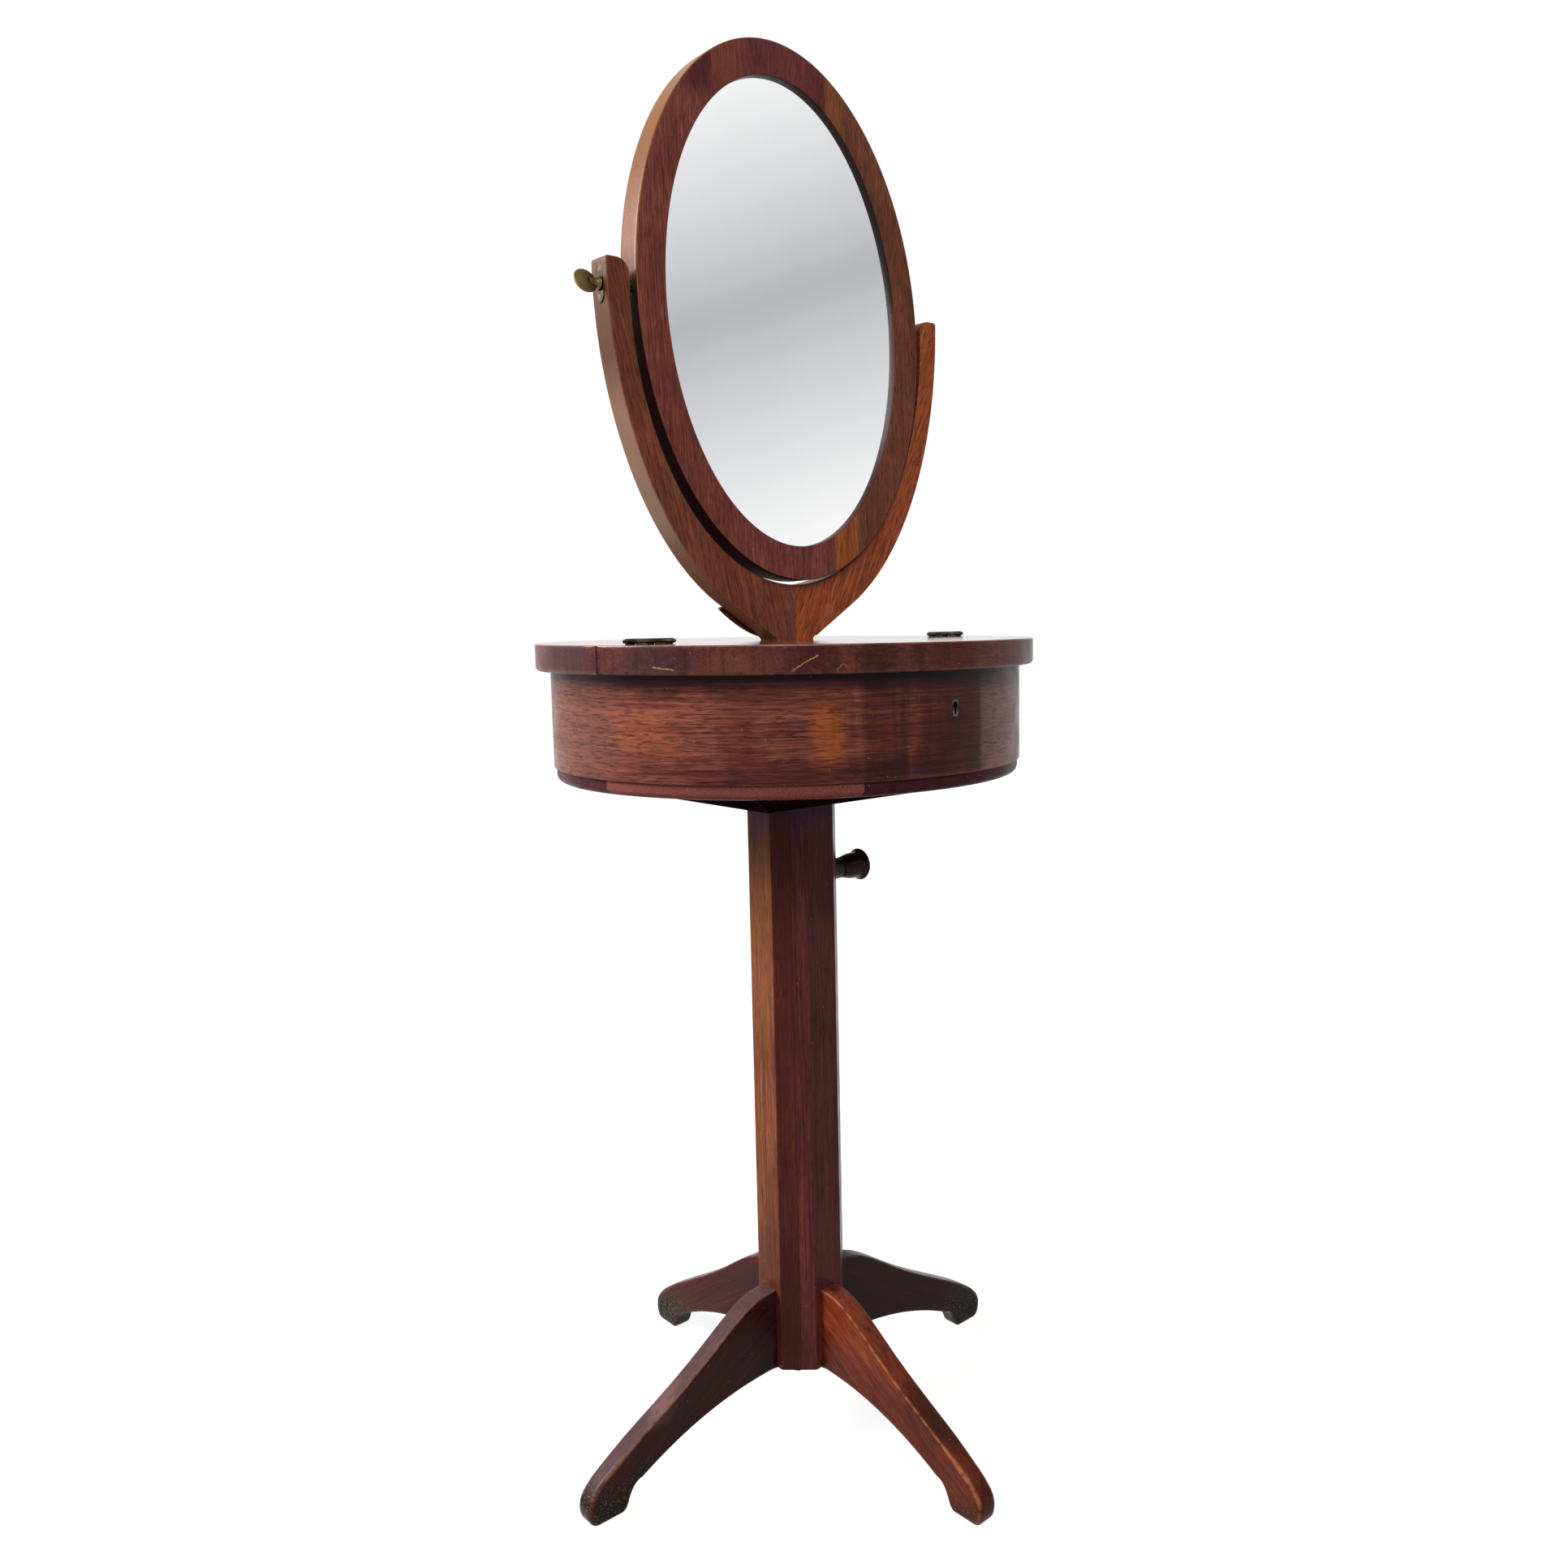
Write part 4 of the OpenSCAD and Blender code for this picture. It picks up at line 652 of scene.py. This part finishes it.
# A leg is sawn from a 22 mm board: two curves over the top and one under the arch
leg = {"thick": 22.0, "reach": 276.0, "root": (44.5, 68.0), "rootHigh": 87.5, "sole": 31.0,
       "heel": 26.0, "toe": 17.0, "arris": 2.0, "toeArris": 4.2}
rx, rz = leg["root"]
reach, rise, tip = leg["reach"], leg["heel"], leg["toe"]
heel = reach - 5 - leg["sole"]
waist, ankle = (149.5, 105.0), (reach - 14, rise + 14)
shoulder, archEnd = (rx, rz + leg["rootHigh"]), (heel - 24, rise + 0.5)
legOutline = np.concatenate([
    curve(shoulder, (rx + 36, shoulder[1] + 2), (waist[0] - 50, waist[1] + 31), waist, 28),
    curve(waist, (waist[0] + 38, waist[1] - 23.5), (ankle[0] - 22, ankle[1] + 17), ankle, 24),
    curve(ankle, (ankle[0] + 8, ankle[1] - 7), (reach, 27), (reach, tip), 14),
    curve((reach, tip), (reach, 7), (reach - 4, 0), (reach - 11, 0), 10), [(reach - 11, 0)],
    curve((heel, 0), (heel - 6, 1), (heel - 7, 6), (heel - 10, 13), 12),
    curve((heel - 10, 13), (heel - 13, 20), (heel - 17, rise), archEnd, 14),
    curve(archEnd, (archEnd[0] - 36, archEnd[1] + 18), (rx + 80, rz), (rx, rz), 36), [(rx, rz)]])[::-1]
towardsToe = np.clip((legOutline[:, 0] - heel + 20) / 30, 0, 1)
legEase = leg["arris"] + (leg["toeArris"] - leg["arris"]) * towardsToe
legEase = np.where(legOutline[:, 0] < rx + 0.1, 0.2, legEase)
legShape = laid(slab(legOutline, -leg["thick"] / 2, leg["thick"] / 2, legEase), "y")
for side, turn in (("front", -90), ("back", 90), ("left", 180), ("right", 0)):
    addPiece("leg_%s_board" % side, (turnedAbout(legShape[0], "Z", turn), *legShape[1:]),
             "leg_" + side, "stand", ["leg_" + side])

# The bearer: a block with bevelled lower corners
bearer = {"low": 687.0, "high": 711.6, "half": 109.0, "bevel": 20.0, "deep": 98.5}
half, deep, bevel, lo, hi = (bearer[key] for key in ("half", "deep", "bevel", "low", "high"))
corners = [(-half, lo), (half, lo), (half + bevel, lo + bevel), (half + bevel, hi), (-half - bevel, hi),
           (-half - bevel, lo + bevel)]
board = easedBoard(corners, (1, 1, 0.6, 0.3, 0.3, 0.6), -deep, deep, 0.8, hold=2.0)
piece = addPiece("bearer_block", laid(board, "y"), "bearer", "stand", ["bearer"])
postHole = block(-column["postHole"], column["postHole"], column["front"], column["back"], 680, 860)
cutOut(piece, postHole)

# The box: its bottom board has a rounded lower edge
box = {"bottomEdge": 237.5, "bottomRound": 6.0, "wallOut": 240.0, "wallIn": 228.0, "low": 711.6,
       "wallLow": 725.2, "wallHigh": 821.4, "topEdge": 254.0, "top": 847.9, "seam": -39.5, "seamWide": 0.5}
edge, r, low, wallLow = (box[key] for key in ("bottomEdge", "bottomRound", "low", "wallLow"))
profile = np.concatenate([
    [(0, low), (edge - 2 * r, low)], oval(r, r, -90, 0, 8) + (edge - r, low + r),
    [(edge, wallLow - 2.6), (edge, wallLow - 0.3), (edge - 0.3, wallLow), (edge - 3, wallLow),
     (0, wallLow)]])
piece = addPiece("bottom_board", turning(profile, 192), "bottom", "stand", ["box_bottom"])
cutOut(piece, postHole)

# The wall is a ring, cut through for the keyhole and from inside for the lock
wallHigh, out, inn = box["wallHigh"], box["wallOut"], box["wallIn"]
profile = [(out - 0.6, wallLow), (out, wallLow + 0.6), (out, wallLow + 3), (out, wallHigh - 3),
           (out, wallHigh - 0.4), (out - 0.4, wallHigh), (out - 3, wallHigh), (inn + 3, wallHigh),
           (inn + 0.4, wallHigh), (inn, wallHigh - 0.4), (inn, wallHigh - 3), (inn, wallLow + 3),
           (inn, wallLow), (inn + 3, wallLow), (out - 3, wallLow)]
piece = addPiece("wall_of_the_box", turning(profile, 240, [1, 1] + [0] * 13), "drum", "stand",
                 ["drum_wall"])
keyhole = {"z": 786.8, "high": 15.8, "play": 0.05, "lockHalf": 22.05, "lockDeep": 12.0, "lockLow": 771.35}
tall, play = keyhole["high"], keyhole["play"]
r, foot = 0.28 * tall + play, 0.19 * tall + play
ring = oval(r, r, -31, 211, 28) + (0, 0.22 * tall)
hole = np.concatenate([ring, [(-foot, -tall / 2 - play), (foot, -tall / 2 - play)]]) + (0, keyhole["z"])
lockBack = -np.sqrt(inn ** 2 - 22 ** 2) - 1
lockRoom = block(-keyhole["lockHalf"], keyhole["lockHalf"], lockBack - play, lockBack + keyhole["lockDeep"],
                 keyhole["lockLow"], 830)
cutOut(piece, laid(slab(hole, -246, -222, 0.02, hold=0.5), "y"), lockRoom)

# The top is a disk in two parts, with a recess for each hinge on both sides of the seam
edge, seam, top = box["topEdge"], box["seam"], box["top"]
hinge = {"x": 194.7, "half": 25.45, "leaf": 1.55, "deep": 16.05}
for name, side, low, seamY, node, body in (
        ("round_top", 1, wallHigh, seam, "fixed_top", "stand"),
        ("lid_board", -1, wallHigh + 0.3, seam - box["seamWide"], "lid_panel", "lid")):
    at = np.degrees(np.arcsin(-seamY / edge))
    rim = oval(edge, edge, -at, 180 + at, 220) if side > 0 else oval(edge, edge, 180 + at, 360 - at, 200)
    outline = np.concatenate([rim, np.linspace(rim[-1], rim[0], 12)[1:-1]])
    onRim = np.arange(len(outline)) < len(rim)
    onRim[[0, len(rim) - 1]] = False
    shape = slab(outline, low, top, np.where(onRim, 4.0, 0.3), np.where(onRim, 1.6, 0.4))
    piece = addPiece(name, shape, "top", body, [node])
    cuts = [postHole] if side > 0 else []
    faces = sorted((seamY + side * hinge["leaf"], seamY - side))
    cuts += [block(x - hinge["half"], x + hinge["half"], *faces, top - hinge["deep"], top + 1)
             for x in (-hinge["x"], hinge["x"])]
    cutOut(piece, *cuts)

# The mirror's frame: an L-shaped section goes round the oval. A point of it that lies d
# inwards runs on an ellipse whose half width is less by d and whose half height is less by
# a little more, because the frame is wider at its ends. Each segment's ends lie on a
# straight glue line, so every point of the section has its own range of angles
mirror = {"a": 179.4, "b": 264.5, "side": 32.5, "end": 34.6, "thick": 27.0, "glass": 5.5, "rebate": 7.0,
          "arris": 1.3, "y": -1.0, "z": 1172.4, "lean": 2.4}
glue = {"topLeft": -83.0, "topRight": 59.5, "stripFrom": 47.0, "stripTo": 80.0}
w, t, e = mirror["side"] - 0.1, mirror["thick"] / 2, mirror["arris"]
front, gl, lip = -t, mirror["glass"] - t, w - mirror["rebate"]
section = np.concatenate([
    [(0, t - 3), (0, front + 4)], oval(e, e, 180, 270, 4) + (e, front + e), [(4, front), (w - 4, front)],
    oval(e, e, -90, 0, 4) + (w - e, front + e),
    [(w, gl), (lip, gl), (lip, t - 0.3), (lip - 0.3, t), (lip - 3, t), (4, t)],
    oval(e, e, 90, 180, 4) + (e, t - e)])
sectionWorn = np.concatenate([[0, 0], arrisMarks(), [0, 0], 0.6 * arrisMarks(), np.zeros(6), arrisMarks()])


def frameSweep(first, last, steps):
    a = mirror["a"] - section[:, 0]
    b = mirror["b"] - section[:, 0] * mirror["end"] / mirror["side"]
    angles = [np.arccos(np.clip(x / a, -1, 1)) * way % (2 * np.pi) for x, way in (first, last)]
    if angles[1][0] < angles[0][0]:
        angles[0] = angles[0] - 2 * np.pi
    angle = angles[0] + (angles[1] - angles[0]) * np.linspace(0, 1, steps + 1)[:, None]
    points = np.stack([a * np.cos(angle), section[:, 1] + 0 * angle, b * np.sin(angle)], -1).reshape(-1, 3)
    points = turnedAbout(points, "X", -mirror["lean"]) + (0, mirror["y"], mirror["z"])
    return points, sweepFaces(steps + 1, len(section)), np.tile(sectionWorn, steps + 1)


# each segment goes from one glue line to the next, above the swing axis (1) or below it (-1)
for name, node, first, last, steps, finish in (
        ("frame_top_segment", "frame_top", ("topRight", 1), ("topLeft", 1), 60, "frame"),
        ("frame_left_segment", "frame_left", ("topLeft", 1), ("topLeft", -1), 100, "frameLeft"),
        ("frame_bottom_segment", "frame_bottom", ("topLeft", -1), ("stripFrom", -1), 60, "frameBottom"),
        ("frame_strip", "frame_bottom_strip", ("stripFrom", -1), ("stripTo", -1), 12, "frameOrange"),
        ("frame_right_segment", "frame_right", ("stripTo", -1), ("topRight", 1), 100, "frameRight")):
    first, last = ((glue[line], way) for line, way in (first, last))
    addPiece(name, frameSweep(first, last, steps), finish, "mirror", [node])

# The yoke: its outer curve is an ellipse that runs out into the foot, its inner one runs
# even with the mirror's frame. The halves meet in a glue line, and below the top only the
# front half of the thickness goes on, as the tongue of the half lap
yoke = {"armX": 210.5, "a": 186.0, "b": 268.0, "up": 18.0, "outerB": 330.0, "run": 82.0, "top": 1195.4,
        "corner": 13.0, "foot": 848.3, "post": 23.0, "flare": 6.0, "lap": 70.0, "front": -13.7,
        "back": 11.7, "arris": 1.2, "tip": 3.0}
armX, footZ, px, c, tip = (yoke[key] for key in ("armX", "foot", "post", "corner", "tip"))
pz = mirror["z"]
flare = (px + yoke["flare"], footZ + 4)
spread = curve((px, footZ), (px + 1, footZ + 2.5), (px + 3, footZ + 3.5), flare, 8)[1:]
runOut = np.degrees(np.arccos(yoke["run"] / armX))
yokeOutline = np.concatenate([
    [(0, footZ), (px, footZ)], spread, [flare],
    oval(armX, yoke["outerB"], -runOut, 0, 110) + (0, pz + yoke["up"]),
    oval(tip, tip, 0, 90, 5) + (armX - tip, yoke["top"] - tip),
    oval(c, c, 90, 180, 14) + (yoke["a"] + c, yoke["top"] - c),
    oval(yoke["a"], yoke["b"], 0, -90, 120) + (0, pz)])
atFoot, atJoint = yokeOutline[:, 1] < footZ + 0.01, yokeOutline[:, 0] < 0.01
ease = np.where(atJoint, 0.15, np.where(atFoot, 0.3, yoke["arris"]))
arm = slab(yokeOutline, yoke["front"], yoke["back"], ease, hold=1.2)
tongue = slab([(0, footZ - yoke["lap"]), (px, footZ - yoke["lap"]), (px, footZ + 2), (0, footZ + 2)],
              yoke["front"] + 0.05, -1.0, 0.3, hold=1.0)
plate = {"half": 17.0, "r": 6.5, "deep": 1.6, "fit": 0.05, "y": -1.0}
r, straight = plate["r"] + plate["fit"], plate["half"] - plate["r"]
recess = np.concatenate([oval(r, r, 0, 180, 24) + (0, straight), oval(r, r, 180, 360, 24) - (0, straight)])
recess = laid(slab(recess + (plate["y"], pz), armX - plate["deep"], armX + 2, 0.01, hold=0.2), "x")
for side, sign in (("left", -1), ("right", 1)):
    shape = laid(together(arm, tongue), "y", signs=(sign, 1, 1))
    piece = addPiece("yoke_%s_half" % side, shape, "yoke" + side.capitalize(),
                     "mirror_carrier", ["yoke_" + side])
    cutOut(piece, laid(recess, signs=(sign, 1, 1)))

# The plate glued behind the yoke's joint stands a little proud of the yoke's outline
backPlate = {"front": 11.75, "back": 16.65, "high": 34.0, "wide": 76.5, "arris": 0.9}
wide, plateTop = backPlate["wide"], footZ + backPlate["high"]
side = np.concatenate([
    [(px, footZ)], spread,
    curve(flare, (px + 25, footZ + 10), (wide - 10, plateTop - 11), (wide, plateTop - 2), 16),
    [(wide, plateTop - 2), (wide - 0.6, plateTop - 0.5), (wide - 2.5, plateTop)]])
shape = slab(np.concatenate([side, side[::-1] * (-1, 1)]), backPlate["front"], backPlate["back"],
             backPlate["arris"], hold=0.8)
addPiece("plate_behind_the_joint", laid(shape, "y"), "post", "mirror_carrier",
         ["yoke_back_plate"])

# Turned knob and its bush on the column's right face: profiles of radius and height go
# round the screw's axis
r, long = knob["r"], knob["long"]
bell = np.concatenate([
    [(0, 0), (0.58 * r, 0), (0.62 * r, 0.3), (0.65 * r, 1.0), (0.64 * r, 1.8)],
    curve((0.62 * r, 2.2), (0.7 * r, 6), (0.8 * r, 10), (0.81 * r, 19), 20),
    curve((0.81 * r, 19), (0.82 * r, 25), (0.96 * r, 25), (r, long - 6), 16),
    curve((r, long - 6), (r, long - 2.5), (0.62 * r, long), (0, long), 20), [(0, long)]])
addPiece("turned_knob", laid(turning(bell, 72), "x", (knob["root"], 0, knob["z"])),
         "ebonised", "height_screw", ["height_knob"], 40)
bush = [(7.2, 29.6), (9.5, 29.6), (9.5, 44.55), (14.1, 44.55), (14.5, 44.9), (14.5, 45.6), (14.1, 46.3),
        (13.6, 46.6), (13.3, 47.2), (12.6, 51), (11.9, 56), (11.2, 62), (11.3, 62.6), (11.3, 63.6),
        (10.9, 64.3), (10.4, 64.5), (7.2, 64.5)]
addPiece("turned_bush", laid(turning(bush, 72), "x", (0, 0, knob["z"])), "ebonised",
         "stand", ["knob_bush"], 40)

# Thumbscrew: a turned collar and neck, and a thin paddle whose thickness falls off towards
# its rim with the square of the distance from its middle
thumb = {"arm": 210.5, "off": 14.0, "r": 11.4, "thick": 2.8, "rim": 1.5, "turn": 20.0}
collar = [(0, -46), (3, -46), (3, 0.4), (6.1, 0.4), (6.4, 0.7), (6.4, 1.5), (6.1, 1.9), (5.3, 2.4),
          (4.6, 3.4), (4.1, 4.9), (3.7, 7), (3.5, 9.5), (3.2, 11), (0, 12)]
around = np.linspace(0, 2 * np.pi, 64, endpoint=False)[None]
face = [0, 0.2, 0.4, 0.6, 0.75, 0.88, 0.96, 0.99]
rho = np.array(face + [1.0] + face[::-1])[:, None]
side = np.sign(np.arange(len(rho)) - len(face))[:, None]
rim, flat = thumb["rim"] / 2, 0.95  # half the rim's thickness, and where its rounding starts
rise = side * np.where(rho > flat, rim * np.sqrt(np.clip(1 - ((rho - flat) / (1 - flat)) ** 2, 0, 1)),
                       rim + (thumb["thick"] / 2 - rim) * (1 - (rho / flat) ** 2))
r = thumb["r"] * rho
paddle = np.stack([r * np.cos(around), r * np.sin(around), rise + 0 * around], -1)
paddle = turnedAbout(paddle.reshape(-1, 3), "X", 90 - thumb["turn"]) + (thumb["arm"] + thumb["off"], 0, 0)
paddle = (paddle, [gridFaces(len(rho), 64)], np.zeros(len(paddle)))
shape = together(laid(turning(collar, 64), "x", (thumb["arm"], 0, 0)), paddle)
addPiece("thumbscrew", laid(shape, move=(0, mirror["y"], mirror["z"]), signs=(-1, 1, 1)),
         "brass", "tilt_screw", ["tilt_thumbscrew"], 40)

# Lamps in metres and watts: a disk each, from its spot towards its aim
lamps = {"key": {"energy": 190.0, "size": 1.7, "spot": (-2.3, 1.9, 2.6), "aim": (0, 0, 0.7)},
         "fill": {"energy": 15.5, "size": 0.9, "spot": (-0.75, -1.15, 1.75), "aim": (0, 0, 0.9)}}
for name, lamp in lamps.items():
    disk = bpy.data.lights.new(name, "AREA")
    disk.shape = "DISK"
    disk.energy, disk.size = lamp["energy"], lamp["size"]
    turn = (Vector(lamp["aim"]) - Vector(lamp["spot"])).to_track_quat("-Z", "Y")
    addObject(name, disk).matrix_world = Matrix.Translation(lamp["spot"]) @ turn.to_matrix().to_4x4()

# The room: white to the eye, in metal and through glass, and dim as a light. Reflections
# also show a soft grey band across it, which leans and lies between 7 and 27 degrees above
# the horizon on the side that the mirror shows
room = {"white": "#fbfbfb", "grey": "#b9bbbf", "low": 0.12, "middle": 0.295, "high": 0.45,
        "lean": -0.36, "lift": 0.223, "dim": 0.24}
world = bpy.data.worlds.new("room")
bpy.context.scene.world = world
world.use_nodes = True
world.node_tree.nodes.clear()
add = partial(put, world.node_tree)
rays = add("LightPath", out=None).outputs
seen = add("Math", {0: rays["Is Camera Ray"], 1: rays["Is Transmission Ray"]}, operation="MAXIMUM")
shown = add("Math", {0: seen, 1: rays["Is Glossy Ray"]}, operation="MAXIMUM")
way = add("SeparateXYZ", {0: add("TexCoord", out="Generated")}, None).outputs
slant = add("Math", {0: way[0], 1: room["lean"], 2: room["lift"]}, operation="MULTIPLY_ADD")
slant = add("Math", {0: way[2], 1: slant}, operation="ADD")
band = add("ValToRGB", {0: slant}, stops=[(room["low"], room["white"]), (room["high"], room["white"]),
                                          (room["middle"], room["grey"])])
white, banded, dim = (add("Background", {0: colour, 1: strength}) for colour, strength in (
    ((1, 1, 1, 1), 1.0), (band, 1.0), ((1, 1, 1, 1), room["dim"])))
mirrored = add("MixShader", {0: seen, 1: banded, 2: white})
add("OutputWorld", {0: add("MixShader", {0: shown, 1: dim, 2: mirrored})}, None)

# Floor: pale paper that is white to the camera apart from the object's soft shadow
floorPoints = np.array([[-9, -9, 0], [9, -9, 0], [9, 9, 0], [-9, 9, 0]]) / mm
floor = addObject("floor", buildMesh("floor", floorPoints, [np.array([[0, 1, 2, 3]])], np.zeros(4)))
paper, tree, skin = newMaterial("pale_paper")
add = partial(put, tree)
feed(tree, skin, {"Base Color": linear("#959391"), "Roughness": 0.9, "Specular IOR Level": 0.1})
far = add("VectorMath", {0: add("TexCoord", out="Object")}, "Value", operation="LENGTH")
glow = add("MapRange", {0: far, 1: 0.8, 2: 2.5, 3: 0.88, 4: 1.0})
glow = add("Emission", {0: (1, 1, 1, 1), 1: glow})
rays = add("LightPath", out=None).outputs
shown = add("Math", {0: rays["Is Camera Ray"], 1: rays["Is Glossy Ray"]}, operation="MAXIMUM")
lit = add("AddShader", {0: skin.outputs[0], 1: glow})
chosen = add("MixShader", {0: shown, 1: skin.outputs[0], 2: lit})
feed(tree, tree.nodes["Material Output"], {0: chosen})
floor.data.materials.append(paper)

view = {"lens": 29.937, "sensor": 36.0, "shift": (-0.0779, -0.01445), "place": (-0.8639, -1.0625, 0.8695),
        "turns": ((-44.21, "Z"), (90 - 6.298, "X"), (-0.679, "Z"))}
camera = bpy.data.cameras.new("camera")
camera.lens, camera.sensor_width = view["lens"], view["sensor"]
camera.shift_x, camera.shift_y = view["shift"]
camera.clip_start, camera.clip_end = 0.05, 60
holder = addObject("camera", camera)
place = Matrix.Translation(view["place"])
for degrees, axis in view["turns"]:
    place = place @ Matrix.Rotation(radians(degrees), 4, axis)
holder.matrix_world = place
bpy.context.scene.camera = holder
bpy.context.scene.view_settings.view_transform = "Standard"
print("room, floor and camera")
